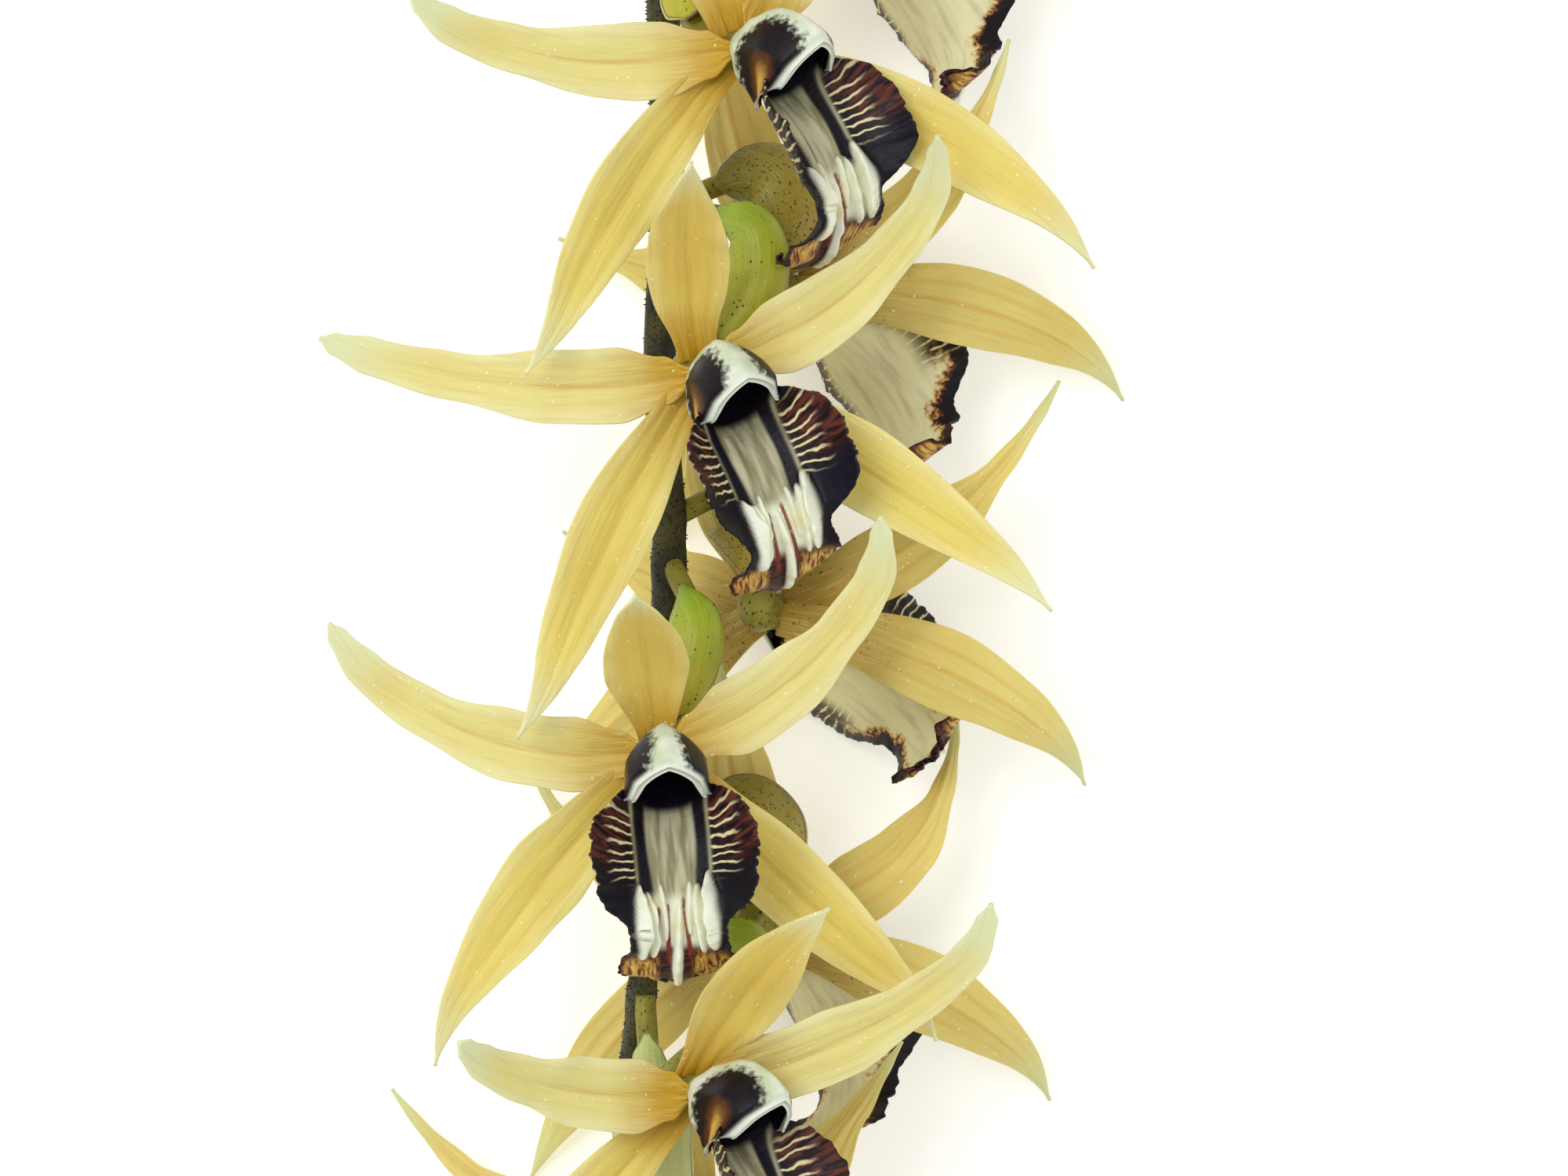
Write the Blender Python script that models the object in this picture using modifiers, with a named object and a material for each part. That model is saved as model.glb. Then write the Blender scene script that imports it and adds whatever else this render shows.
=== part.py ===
"""Cut flower spike of a pale yellow necklace orchid, lying on its side.

The spike runs along Y with its cut stem end at +Y, and rests on Z = 0. Five flowers of the front
rank (f0 to f4) face up and five of the rear rank (r0 to r4) face down, towards the surface.
Each flower has three sepals, two petals, a three-lobed lip, an ovary grown into the hooded
column, and one bract that clasps the ovary. Lengths in the tables are millimetres.
"""

import math

import bmesh
import bpy
import numpy as np

MM = 0.001

# Where the finished object's origin lies in the table coordinates: under its middle, on the floor.
ORIGIN = (-3.908, 24.085, -0.02)

TEPAL_THICKNESS = 0.7
TEPAL_CELLS = (2, 9)
SEPAL_WIDTH = 9.4
PETAL_WIDTH = 8.6
DORSAL_WIDTH = 9.8
BASE_WIDTH_RATIO = 0.3
WIDEST_AT = 0.42
TIP_HALF_WIDTH = 0.35
SEPAL_RADIUS = 3.1
PETAL_RADIUS = 3.1
SEPAL_SET_BACK = -1.1
PETAL_SET_BACK = 0.5

LIP_THICKNESS = 0.8
LIP_CELLS = (6, 11)
# Middle line of the lip as (towards the dorsal sepal, forwards), then half width and margin lift.
LIP_LINE = [(-3.3, 2.1), (-5.0, 5.8), (-8.2, 9.6), (-12.8, 12.4), (-17.8, 13.2), (-22.0, 11.4), (-24.2, 8.0)]
LIP_HALF_WIDTH = [(0.0, 1.7), (0.14, 3.2), (0.36, 10.2), (0.48, 9.8), (0.62, 5.4), (0.8, 7.2), (0.92, 5.6), (1.0, 2.0)]
LIP_LIFT = [(0.0, 0.6), (0.14, 3.0), (0.36, 7.0), (0.5, 6.2), (0.62, 2.6), (0.8, -0.4), (1.0, -1.6)]
LIP_RUFFLE = 0.5

# Column beyond the flower's centre, as (towards the dorsal sepal, forwards).
COLUMN_LINE = [(0.0, 0.0), (0.5, 2.2), (1.3, 4.6), (1.9, 7.2), (1.5, 9.6), (0.2, 11.6)]
HOOD_HALF_WIDTH = [(0.0, 2.0), (0.3, 2.1), (0.7, 4.2), (0.9, 4.3), (1.0, 3.6)]
HOOD_LEG = [(0.0, 0.0), (0.3, 0.6), (0.62, 3.7), (0.85, 4.2), (1.0, 2.8)]
HOOD_FORM = [(0.0, 0.0), (0.25, 0.0), (0.5, 1.0), (1.0, 1.0)]
HOOD_WALL = 0.9
PEDICEL_RADIUS = 1.25
OVARY_RADIUS = 2.15
OVARY_ROWS = 9
COLUMN_ROWS = 7

BRACT_THICKNESS = 0.7
BRACT_CELLS = (4, 6)
BRACT_CLEARANCE = 1.05
# How far the middle of the bract stands off the ovary, and where on the ovary it starts and ends.
BRACT_BULGE = {"f": 1.3, "r": 3.3, "r4": 1.0}
BRACT_SPAN = (0.12, 0.65)

# Stem centreline from the cut end to the last flower, and its radius along the way.
STEM_LINE = [
    (-9.0, 158.0, 2.7),
    (-10.0, 147.0, 6.4),
    (-11.2, 133.0, 14.6),
    (-12.4, 118.0, 21.0),
    (-13.4, 102.0, 23.8),
    (-13.9, 84.0, 24.2),
    (-14.0, 66.0, 24.0),
    (-13.5, 46.0, 24.2),
    (-14.4, 26.0, 24.0),
    (-13.3, 6.0, 24.2),
    (-14.2, -14.0, 24.0),
    (-15.2, -32.0, 24.1),
    (-16.6, -48.0, 23.8),
    (-18.6, -61.0, 23.2),
]
STEM_RADIUS = [(0.0, 2.2), (0.25, 2.0), (0.8, 1.85), (0.97, 1.5), (1.0, 1.1)]
STEM_RING = 10
STEM_ROWS = 46

# Flowers: centre, facing direction and bearing of the dorsal sepal; ovary line from its node on
# the stem; then each tepal's tip seen from the centre, sideways bow, lift of the middle, hooked
# tip and twist in degrees.
FLOWERS = {
    "f0": {
        "centre": (-3.6, 100.8, 36.0),
        "facing": (0.62, -0.2, 0.76),
        "up": 98,
        "ovary": [(-12.0, 122.0, 24.6), (-8.0, 117.0, 27.4), (-4.8, 109.0, 29.6)],
        "dorsal_sepal": ((-1.0, 22.0, 21.0), 0.5, -2.5, 0.0, 4),
        "left_petal": ((-38.0, 9.0, 8.0), -2.0, -1.5, 0.0, -6),
        "right_petal": ((27.0, 25.0, 9.0), 3.5, -2.0, 0.0, 8),
        "left_sepal": ((-19.4, -33.0, 5.5), 1.6, 1.0, 1.5, 10),
        "right_sepal": ((37.0, -23.0, 4.0), -2.0, 0.5, -1.5, -8),
    },
    "f1": {
        "centre": (-5.0, 61.2, 36.0),
        "facing": (0.72, -0.2, 0.66),
        "up": 114,
        "ovary": [(-11.6, 80.5, 26.8), (-10.6, 74.5, 28.8), (-10.4, 67.0, 30.2)],
        "dorsal_sepal": ((-6.0, 27.0, 13.0), -0.5, -1.5, 0.0, 4),
        "left_petal": ((-36.9, 3.6, 14.0), -3.4, -2.5, 1.6, -6),
        "right_petal": ((13.0, 37.0, -4.0), 2.5, -1.0, 0.0, 8),
        "left_sepal": ((-23.0, -37.8, 5.0), 2.6, 1.0, 1.5, 10),
        "right_sepal": ((41.0, -23.6, 0.5), -2.8, 0.5, 1.5, -8),
    },
    "f2": {
        "centre": (-9.0, 24.3, 36.0),
        "facing": (0.42, -0.26, 0.87),
        "up": 110,
        "ovary": [(-11.0, 44.0, 27.0), (-3.6, 41.0, 30.4), (-4.4, 32.0, 30.8)],
        "dorsal_sepal": ((-1.2, 22.6, 19.0), -0.4, -2.5, 0.0, 2),
        "left_petal": ((-43.6, 4.0, 3.0), -3.2, -2.0, 0.0, -4),
        "right_petal": ((27.8, 24.8, 9.0), 4.8, -3.0, -2.4, 8),
        "left_sepal": ((-19.8, -41.9, 5.0), 1.9, 1.0, 1.5, 8),
        "right_sepal": ((39.9, -26.1, 2.0), -1.0, 1.0, 1.0, -8),
    },
    "f3": {
        "centre": (-14.0, -18.9, 36.0),
        "facing": (0.1, -0.28, 0.95),
        "up": 94,
        "ovary": [(-12.0, 2.6, 27.6), (-10.2, -4.0, 29.4), (-11.8, -11.0, 30.2)],
        "dorsal_sepal": ((-2.4, 18.0, 21.0), 0.0, -2.5, 0.0, 0),
        "left_petal": ((-37.8, 14.0, 4.0), -5.4, -2.0, 1.0, -4),
        "right_petal": ((26.6, 25.2, 8.0), 4.4, -2.0, -2.6, 8),
        "left_sepal": ((-26.6, -34.2, 4.5), 1.8, 1.0, -1.5, 8),
        "right_sepal": ((33.0, -31.0, -1.0), 0.8, 0.0, 2.4, -8),
    },
    "f4": {
        "centre": (-9.9, -57.6, 36.0),
        "facing": (0.72, -0.2, 0.66),
        "up": 92,
        "ovary": [(-13.0, -38.6, 26.8), (-4.6, -41.0, 28.2), (-7.0, -50.6, 28.8)],
        "dorsal_sepal": ((14.9, 22.0, 15.0), -1.0, -1.0, 0.0, 4),
        "left_petal": ((-26.1, 6.8, 20.0), -2.4, -2.5, 0.8, -6),
        "right_petal": ((34.7, 19.8, 9.0), 3.4, -0.6, -3.0, 14),
        "left_sepal": ((-27.0, -33.0, 5.0), 1.8, 1.0, 1.5, 8),
        "right_sepal": ((34.0, -28.0, 1.0), 2.0, 1.0, -1.5, -8),
    },
    "r0": {
        "centre": (6.6, 79.0, 16.0),
        "facing": (0.7, -0.15, -0.7),
        "up": 124,
        "ovary": [(-10.9, 89.0, 23.0), (-4.6, 92.0, 21.4), (0.6, 87.6, 20.6)],
        "dorsal_sepal": ((-8.0, 32.0, -2.0), 0.5, 1.0, 0.0, 0),
        "left_petal": ((-30.0, 9.0, -14.0), 1.0, 0.0, 0.0, 0),
        "right_petal": ((26.0, 26.0, 2.0), -3.0, 1.0, 0.0, 0),
        "left_sepal": ((-22.0, -27.0, -15.6), -1.2, 0.5, 0.0, 0),
        "right_sepal": ((38.0, -4.0, -15.6), 2.0, 5.0, 0.0, 0),
    },
    "r1": {
        "centre": (0.9, 34.6, 16.0),
        "facing": (0.64, -0.15, -0.75),
        "up": 126,
        "ovary": [(-10.9, 44.5, 23.2), (-4.6, 47.4, 21.4), (-0.4, 43.0, 20.6)],
        "dorsal_sepal": ((-9.0, 31.0, -2.0), 0.5, 1.0, 0.0, 0),
        "left_petal": ((-27.8, 7.2, -14.0), 1.0, 0.0, 0.0, 0),
        "right_petal": ((25.4, 29.4, 3.0), -5.0, 1.0, 0.0, 0),
        "left_sepal": ((-18.0, -31.3, -15.6), 0.6, 0.5, 0.0, 0),
        "right_sepal": ((40.0, -11.0, -15.6), 4.2, 6.0, -1.0, 0),
    },
    "r2": {
        "centre": (-1.4, -2.7, 16.0),
        "facing": (0.46, -0.12, -0.88),
        "up": 140,
        "ovary": [(-10.6, 8.4, 23.2), (-5.6, 11.2, 21.4), (-2.4, 6.0, 20.6)],
        "dorsal_sepal": ((-9.0, 31.0, -2.0), 0.5, 1.0, 0.0, 0),
        "left_petal": ((-25.0, 9.4, -14.0), 1.0, 0.0, 0.0, 0),
        "right_petal": ((33.6, 26.9, 2.0), -4.6, 1.0, 0.0, 0),
        "left_sepal": ((-26.6, -20.6, -15.6), -0.6, 0.5, 0.0, 0),
        "right_sepal": ((37.6, -19.7, -9.0), 4.0, 10.0, -1.0, 0),
    },
    "r3": {
        "centre": (-1.4, -40.0, 16.9),
        "facing": (0.6, -0.2, -0.77),
        "up": 104,
        "ovary": [(-12.0, -28.4, 23.2), (-6.4, -25.6, 21.4), (-2.8, -31.0, 20.6)],
        "dorsal_sepal": ((-6.0, 31.0, -2.0), 0.5, 1.0, 0.0, 0),
        "left_petal": ((-29.4, 18.8, -14.0), 4.4, 0.0, -1.0, 0),
        "right_petal": ((21.9, 25.6, -7.5), -6.4, 0.5, 0.0, 0),
        "left_sepal": ((-29.0, -31.0, -16.45), -3.6, 0.5, 0.0, 0),
        "right_sepal": ((33.8, -20.5, -16.45), 3.6, 4.0, -1.0, 0),
    },
    "r4": {
        "centre": (-8.3, -80.2, 16.0),
        "facing": (0.55, -0.3, -0.78),
        "up": 100,
        "ovary": [(-15.2, -47.5, 27.2), (-15.4, -57.0, 26.8), (-14.6, -68.0, 24.6)],
        "dorsal_sepal": ((-9.0, 29.0, -4.0), 0.5, 1.0, 0.0, 0),
        "left_petal": ((-38.6, 20.2, -14.0), 5.0, 0.0, 0.0, 0),
        "right_petal": ((22.0, 27.6, 7.0), -1.5, 1.0, 0.0, 0),
        "left_sepal": ((-22.0, -30.0, -15.6), 1.8, 0.5, 0.0, 0),
        "right_sepal": ((30.0, -24.0, -15.6), 0.4, 1.5, 0.0, 0),
    },
}
# These three flowers are modelled as one joined body each.
JOINED = ("f0", "r0", "r4")

COLOURS = {
    "tepal": (0.80, 0.66, 0.26, 1.0),
    "lip": (0.10, 0.04, 0.03, 1.0),
    "column": (0.42, 0.44, 0.22, 1.0),
    "bract": (0.36, 0.38, 0.06, 1.0),
    "stem": (0.07, 0.07, 0.02, 1.0),
}


def clear_scene():
    """Empty the scene before anything is built."""
    for obj in list(bpy.data.objects):
        bpy.data.objects.remove(obj)


def make_collection(name, hidden=False):
    """A collection linked to the scene; a hidden one holds helper solids."""
    collection = bpy.data.collections.new(name)
    bpy.context.scene.collection.children.link(collection)
    collection.hide_render = hidden
    return collection


def make_materials():
    """One Principled material per kind of tissue."""
    made = {}
    for name, colour in COLOURS.items():
        material = bpy.data.materials.new(name)
        material.use_nodes = True
        shader = material.node_tree.nodes["Principled BSDF"]
        shader.inputs["Base Color"].default_value = colour
        shader.inputs["Roughness"].default_value = 0.55
        material.diffuse_color = colour
        made[name] = material
    return made


def unit(vector):
    """The vector or rows of vectors at length one."""
    vector = np.asarray(vector, float)
    return vector / np.linalg.norm(vector, axis=-1, keepdims=True)


def ease(t, stops):
    """Value at t between (position, value) stops, with a smooth start and stop at each."""
    t = min(max(t, stops[0][0]), stops[-1][0])
    for (t0, v0), (t1, v1) in zip(stops, stops[1:]):
        if t <= t1:
            x = (t - t0) / (t1 - t0)
            return v0 + (v1 - v0) * x * x * (3.0 - 2.0 * x)
    return stops[-1][1]


def along(points, t):
    """Point at share t of a smooth (Catmull-Rom) line through the given points."""
    points = np.asarray(points, float)
    count = len(points) - 1
    spot = min(max(t, 0.0), 1.0) * count
    i = min(int(spot), count - 1)
    x = spot - i
    before = points[max(i - 1, 0)] if i > 0 else 2.0 * points[0] - points[1]
    after = points[i + 2] if i + 2 <= count else 2.0 * points[-1] - points[-2]
    here = points[i]
    there = points[i + 1]
    return 0.5 * (
        2.0 * here
        + (there - before) * x
        + (2.0 * before - 5.0 * here + 4.0 * there - after) * x * x
        + (3.0 * here - before - 3.0 * there + after) * x**3
    )


def direction(line, t, step=0.004):
    """Unit direction of a line function at t."""
    return unit(line(min(t + step, 1.0)) - line(max(t - step, 0.0)))


def flower_axes(facing, up_bearing):
    """Right, up and forward directions of a flower."""
    forward = unit(facing)
    bearing = math.radians(up_bearing)
    rough = np.array([math.cos(bearing), math.sin(bearing), 0.0])
    up = unit(rough - forward * rough.dot(forward))
    return np.cross(up, forward), up, forward


def finish_mesh(bm, name, collection, material):
    """Turn a bmesh in millimetres into a named object in metres at the origin."""
    for vertex in bm.verts:
        vertex.co = [(vertex.co[i] - ORIGIN[i]) * MM for i in range(3)]
    mesh = bpy.data.meshes.new(name)
    bm.to_mesh(mesh)
    bm.free()
    mesh.materials.append(material)
    obj = bpy.data.objects.new(name, mesh)
    collection.objects.link(obj)
    return obj


def make_sheet(name, shape, cells, thickness, collection, material):
    """A thin grown sheet: a grid bent by shape(u, v), with u -1 to 1 across and v 0 to 1 along."""
    bm = bmesh.new()
    bmesh.ops.create_grid(bm, x_segments=cells[0], y_segments=cells[1], size=1.0)
    for vertex in bm.verts:
        vertex.co = shape(vertex.co.x, 0.5 * vertex.co.y + 0.5)
    obj = finish_mesh(bm, name, collection, material)
    wall = obj.modifiers.new("thickness", "SOLIDIFY")
    wall.thickness = thickness * MM
    wall.offset = 0.0
    return obj


def make_tube(name, ring, ring_count, rows, collection, material):
    """A closed swept body: ring(k, v) is point k of ring_count on the section at share v."""
    bm = bmesh.new()
    bmesh.ops.create_grid(bm, x_segments=ring_count, y_segments=rows, size=1.0)
    for vertex in bm.verts:
        k = round((0.5 * vertex.co.x + 0.5) * ring_count) % ring_count
        vertex.co = ring(k, 0.5 * vertex.co.y + 0.5)
    bmesh.ops.remove_doubles(bm, verts=bm.verts, dist=0.00001)
    rims = [edge for edge in bm.edges if edge.is_boundary]
    bmesh.ops.holes_fill(bm, edges=rims, sides=0)
    bmesh.ops.recalc_face_normals(bm, faces=bm.faces)
    return finish_mesh(bm, name, collection, material)


def tepal_width(v, width):
    """Half width of a lance-shaped tepal at share v of its length."""
    if v < WIDEST_AT:
        x = v / WIDEST_AT
        share = BASE_WIDTH_RATIO + (1.0 - BASE_WIDTH_RATIO) * x * x * (3.0 - 2.0 * x)
    else:
        share = (1.0 - ((v - WIDEST_AT) / (1.0 - WIDEST_AT)) ** 1.7) ** 1.1
    return max(0.5 * width * share, TIP_HALF_WIDTH)


def make_tepal(name, flower, which, width, joined, collection, material):
    """A sepal or petal from its base on the flower's centre to its tip."""
    tip_offset, bow, lift, hook, twist = flower[which]
    right, up, forward = flower_axes(flower["facing"], flower["up"])
    centre = np.array(flower["centre"])
    is_petal = which.endswith("petal")
    radius = PETAL_RADIUS if is_petal else SEPAL_RADIUS
    set_back = PETAL_SET_BACK if is_petal else SEPAL_SET_BACK
    if joined:
        radius = 1.2
    tip_offset = np.array(tip_offset)
    flat = unit(tip_offset - forward * tip_offset.dot(forward))
    base = centre + radius * flat + set_back * forward
    chord = centre + tip_offset - base
    above = np.array([0.0, 0.0, 1.0 if forward[2] > 0 else -1.0])
    facing = unit(forward + 1.2 * above)
    sideways = unit(np.cross(chord, facing))
    outward = np.cross(sideways, unit(chord))
    lift_way = outward if forward[2] > 0 else -outward

    def line(v):
        bulge = 4.0 * v * (1.0 - v)
        curl = max(v - 0.8, 0.0) / 0.2
        return base + chord * v + (bow * sideways + lift * lift_way) * bulge + hook * curl**2 * sideways

    def shape(u, v):
        along_way = direction(line, v)
        across = unit(np.cross(along_way, facing))
        normal = np.cross(across, along_way)
        turn = math.radians(twist) * v
        turned = across * math.cos(turn) + normal * math.sin(turn)
        half = tepal_width(v, width)
        cup = 0.22 * half * u * u * (1.0 - 0.6 * v)
        return line(v) + turned * half * u + normal * cup

    return make_sheet(name, shape, TEPAL_CELLS, TEPAL_THICKNESS, collection, material)


def make_lip(name, flower, joined, collection, material):
    """The lip: a trough with two raised side lobes and a recurved middle lobe."""
    right, up, forward = flower_axes(flower["facing"], flower["up"])
    centre = np.array(flower["centre"])
    line_points = [np.array(p) for p in LIP_LINE]
    if joined:
        line_points[0] = np.array((-0.9, 1.4))

    def line(v):
        return along(line_points, v)

    def shape(u, v):
        height, ahead = line(v)
        slope = direction(line, v)
        lifted = np.array([slope[1], -slope[0]])
        half = ease(v, LIP_HALF_WIDTH)
        lift = ease(v, LIP_LIFT) * abs(u) ** 2.2
        lift += LIP_RUFFLE * math.sin(26.0 * v + 2.0 * u) * abs(u) ** 3 * min(v * 4.0, 1.0)
        height += lifted[0] * lift
        ahead += lifted[1] * lift
        return centre + right * half * u * (1.0 - 0.1 * u * u) + up * height + forward * ahead

    return make_sheet(name, shape, LIP_CELLS, LIP_THICKNESS, collection, material)


def ovary_line(flower):
    """Points of the ovary's centreline from its node to the flower's centre."""
    forward = unit(flower["facing"])
    centre = np.array(flower["centre"])
    before = centre - forward * 4.0
    return [np.array(p) for p in flower["ovary"]] + [before, centre]


def ovary_radius(v):
    """Radius of the stalk and ovary at share v."""
    return PEDICEL_RADIUS + (OVARY_RADIUS - PEDICEL_RADIUS) * ease(v, [(0.1, 0.0), (0.7, 1.0)])


def make_ovary_and_column(name, flower, collection, material):
    """The ovary on its stalk, grown into the column with its hood."""
    right, up, forward = flower_axes(flower["facing"], flower["up"])
    centre = np.array(flower["centre"])
    ovary = ovary_line(flower)
    share = OVARY_ROWS / (OVARY_ROWS + COLUMN_ROWS)

    def hood_line(v):
        height, ahead = along(COLUMN_LINE, v)
        return centre + up * height + forward * ahead

    def stalk_line(v):
        return along(ovary, v)

    def ring(k, v):
        round_at = math.radians(30.0 * k - 90.0)
        if v < share:
            at = v / share
            middle = stalk_line(at)
            way = direction(stalk_line, at)
            top = unit(up - way * up.dot(way))
            side = np.cross(top, way)
            radius = ovary_radius(at)
            return middle + side * radius * math.sin(round_at) + top * radius * math.cos(round_at)
        at = (v - share) / (1.0 - share)
        middle = hood_line(at)
        way = direction(hood_line, at)
        top = unit(up - way * up.dot(way))
        side = np.cross(top, way)
        half = ease(at, HOOD_HALF_WIDTH)
        leg = ease(at, HOOD_LEG)
        form = ease(at, HOOD_FORM)
        if k <= 6:
            place = (k - 3) / 3.0
            wall = 0.0
        else:
            place = (9 - k) / 2.6
            wall = HOOD_WALL
        down = max(abs(place) - 0.66, 0.0) / 0.34
        angle = min(abs(place) / 0.66, 1.0) * 0.5 * math.pi
        span = half - wall
        x = math.copysign(span * (math.sin(angle) + 0.12 * down), place)
        y = span * math.cos(angle) - leg * min(down, 1.0)
        x = (1.0 - form) * half * math.sin(round_at) + form * x
        y = (1.0 - form) * half * math.cos(round_at) + form * y
        return middle + side * x + top * y

    return make_tube(name, ring, 12, OVARY_ROWS + COLUMN_ROWS, collection, material)


def make_bract(name, flower, joined, collection, material):
    """The bract: a half sheath that clasps the outer side of the ovary."""
    ovary = ovary_line(flower)
    first, last = BRACT_SPAN
    bulge = BRACT_BULGE.get(name[:2], BRACT_BULGE[name[0]])
    clearance = -0.45 if joined else BRACT_CLEARANCE

    def stalk_line(v):
        return along(ovary, v)

    def shape(u, v):
        at = first + (last - first) * v
        way = direction(stalk_line, at)
        top = unit(np.array([0.0, 0.0, 1.0]) - way * way[2])
        side = np.cross(way, top)
        reach = math.radians(ease(v, [(0.0, 80.0), (0.3, 105.0), (0.8, 70.0), (1.0, 18.0)]))
        radius = ovary_radius(at) + clearance + bulge * ease(v, [(0.0, 0.2), (0.5, 1.0), (1.0, 0.6)])
        angle = reach * u
        return stalk_line(at) + side * radius * math.sin(angle) + top * radius * math.cos(angle)

    return make_sheet(name, shape, BRACT_CELLS, BRACT_THICKNESS, collection, material)


def make_stem(collection, material):
    """The stem with its slight swelling at each flower's node."""
    nodes = [flower["ovary"][0][1] for flower in FLOWERS.values()]

    def line(v):
        return along(STEM_LINE, v)

    def ring(k, v):
        middle = line(v)
        way = direction(line, v)
        side = unit(np.cross(way, np.array([0.0, 0.0, 1.0])))
        top = np.cross(side, way)
        radius = ease(v, STEM_RADIUS)
        radius += 0.25 * sum(math.exp(-(((middle[1] - y) / 2.2) ** 2)) for y in nodes)
        angle = 2.0 * math.pi * k / STEM_RING
        return middle + radius * (side * math.cos(angle) + top * math.sin(angle))

    return make_tube("stem", ring, STEM_RING, STEM_ROWS, collection, material)


def make_flower(key, flower, parts, helpers, materials):
    """All the pieces of one flower, joined into one body where the table says so."""
    joined = key in JOINED
    home = helpers if joined else parts
    pieces = [make_ovary_and_column(f"{key}_ovary_and_column", flower, home, materials["column"])]
    widths = {
        "dorsal_sepal": DORSAL_WIDTH,
        "left_petal": PETAL_WIDTH,
        "right_petal": PETAL_WIDTH,
        "left_sepal": SEPAL_WIDTH,
        "right_sepal": SEPAL_WIDTH,
    }
    for which, width in widths.items():
        name = f"{key}_{which}"
        pieces.append(make_tepal(name, flower, which, width, joined, home, materials["tepal"]))
    pieces.append(make_lip(f"{key}_lip", flower, joined, home, materials["lip"]))
    pieces.append(make_bract(f"{key}_bract", flower, joined, home, materials["bract"]))
    if not joined:
        return
    body = pieces[0]
    helpers.objects.unlink(body)
    parts.objects.link(body)
    body.name = f"{key}_flower"
    body.data.materials.clear()
    body.data.materials.append(materials["tepal"])
    for piece in pieces[1:]:
        piece.hide_render = True
        piece.display_type = "WIRE"
        union = body.modifiers.new(f"grown_to_{piece.name}", "BOOLEAN")
        union.operation = "UNION"
        union.solver = "EXACT"
        union.object = piece


def main():
    """Build the whole spike."""
    clear_scene()
    parts = make_collection("orchid_flower_spike")
    helpers = make_collection("helper_solids", hidden=True)
    materials = make_materials()
    make_stem(parts, materials["stem"])
    for key, flower in FLOWERS.items():
        make_flower(key, flower, parts, helpers, materials)


main()
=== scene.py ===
"""Looks of a cut flower spike of a pale yellow necklace orchid, lying on its side.

The spike runs along Y with its cut stem end at +Y and rests on Z = 0. Every sepal, petal, lip,
column, bract and the stem is a grown surface worked out on a grid of two parameters and closed
into a thin solid, with its own tissue finish. Lengths are millimetres in the table coordinates
of the build, and become metres around the part's origin when a piece is put into the scene.
"""

from __future__ import annotations

import logging
import math
from dataclasses import dataclass, field
from enum import Enum
from typing import Callable

import bpy
import numpy as np
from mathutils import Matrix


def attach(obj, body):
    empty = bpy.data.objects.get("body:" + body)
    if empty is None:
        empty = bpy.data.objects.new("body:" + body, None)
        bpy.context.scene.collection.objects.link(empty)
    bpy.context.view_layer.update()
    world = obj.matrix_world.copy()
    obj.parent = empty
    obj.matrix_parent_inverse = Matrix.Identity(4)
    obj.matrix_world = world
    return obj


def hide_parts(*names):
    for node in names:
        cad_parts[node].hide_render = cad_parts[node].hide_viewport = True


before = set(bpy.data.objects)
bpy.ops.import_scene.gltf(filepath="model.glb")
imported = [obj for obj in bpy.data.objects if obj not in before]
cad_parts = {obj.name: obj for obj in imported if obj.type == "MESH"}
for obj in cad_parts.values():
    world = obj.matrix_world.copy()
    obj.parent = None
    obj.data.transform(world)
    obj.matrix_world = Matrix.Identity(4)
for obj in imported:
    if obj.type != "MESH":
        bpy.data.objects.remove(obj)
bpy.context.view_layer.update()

LOG = logging.getLogger("orchid_flower_spike")
BODY = "root"
MM = 0.001

# Where the part's origin lies in the table coordinates, in millimetres.
ORIGIN = np.array((-3.908, 24.085, -0.02))

Array = np.ndarray
Triple = tuple[float, float, float]
Stops = tuple[tuple[float, float], ...]
Socket = bpy.types.NodeSocket
Material = bpy.types.Material


class Rank(Enum):
    """Side of the spike that a flower grows on."""

    FRONT = "front"
    REAR = "rear"


class Leaf(Enum):
    """The five tepals of a flower, by the name of the solid that each stands for."""

    DORSAL_SEPAL = "dorsal_sepal"
    LEFT_PETAL = "left_petal"
    RIGHT_PETAL = "right_petal"
    LEFT_SEPAL = "left_sepal"
    RIGHT_SEPAL = "right_sepal"

    @property
    def is_petal(self) -> bool:
        """True for the two petals."""
        return self.value.endswith("petal")


class Slot(Enum):
    """Material slots of the part's record."""

    TEPAL = "tepal"
    LIP = "lip"
    COLUMN = "column"
    BRACT = "bract"
    STEM = "stem"


def unit(vectors: Array) -> Array:
    """Vectors along the last axis, each divided by its length."""
    vectors = np.asarray(vectors, float)
    return vectors / np.maximum(np.linalg.norm(vectors, axis=-1, keepdims=True), 1e-12)


def smooth(t: Array, low: float, high: float) -> Array:
    """Smooth rise from 0 at low to 1 at high, as 3x^2 - 2x^3 of the share x between them."""
    x = np.clip((np.asarray(t, float) - low) / (high - low), 0.0, 1.0)
    return x * x * (3.0 - 2.0 * x)


def ease(t: Array, stops: Stops) -> Array:
    """Value at t between (position, value) stops, level at each stop.

    Args:
        t: Positions.
        stops: Pairs of position and value, by rising position.

    Returns:
        The eased value at each position.
    """
    t = np.asarray(t, float)
    value = np.full(t.shape, stops[0][1])
    for (t0, v0), (t1, v1) in zip(stops, stops[1:]):
        value = value + (v1 - v0) * smooth(t, t0, t1)
    return value


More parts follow.
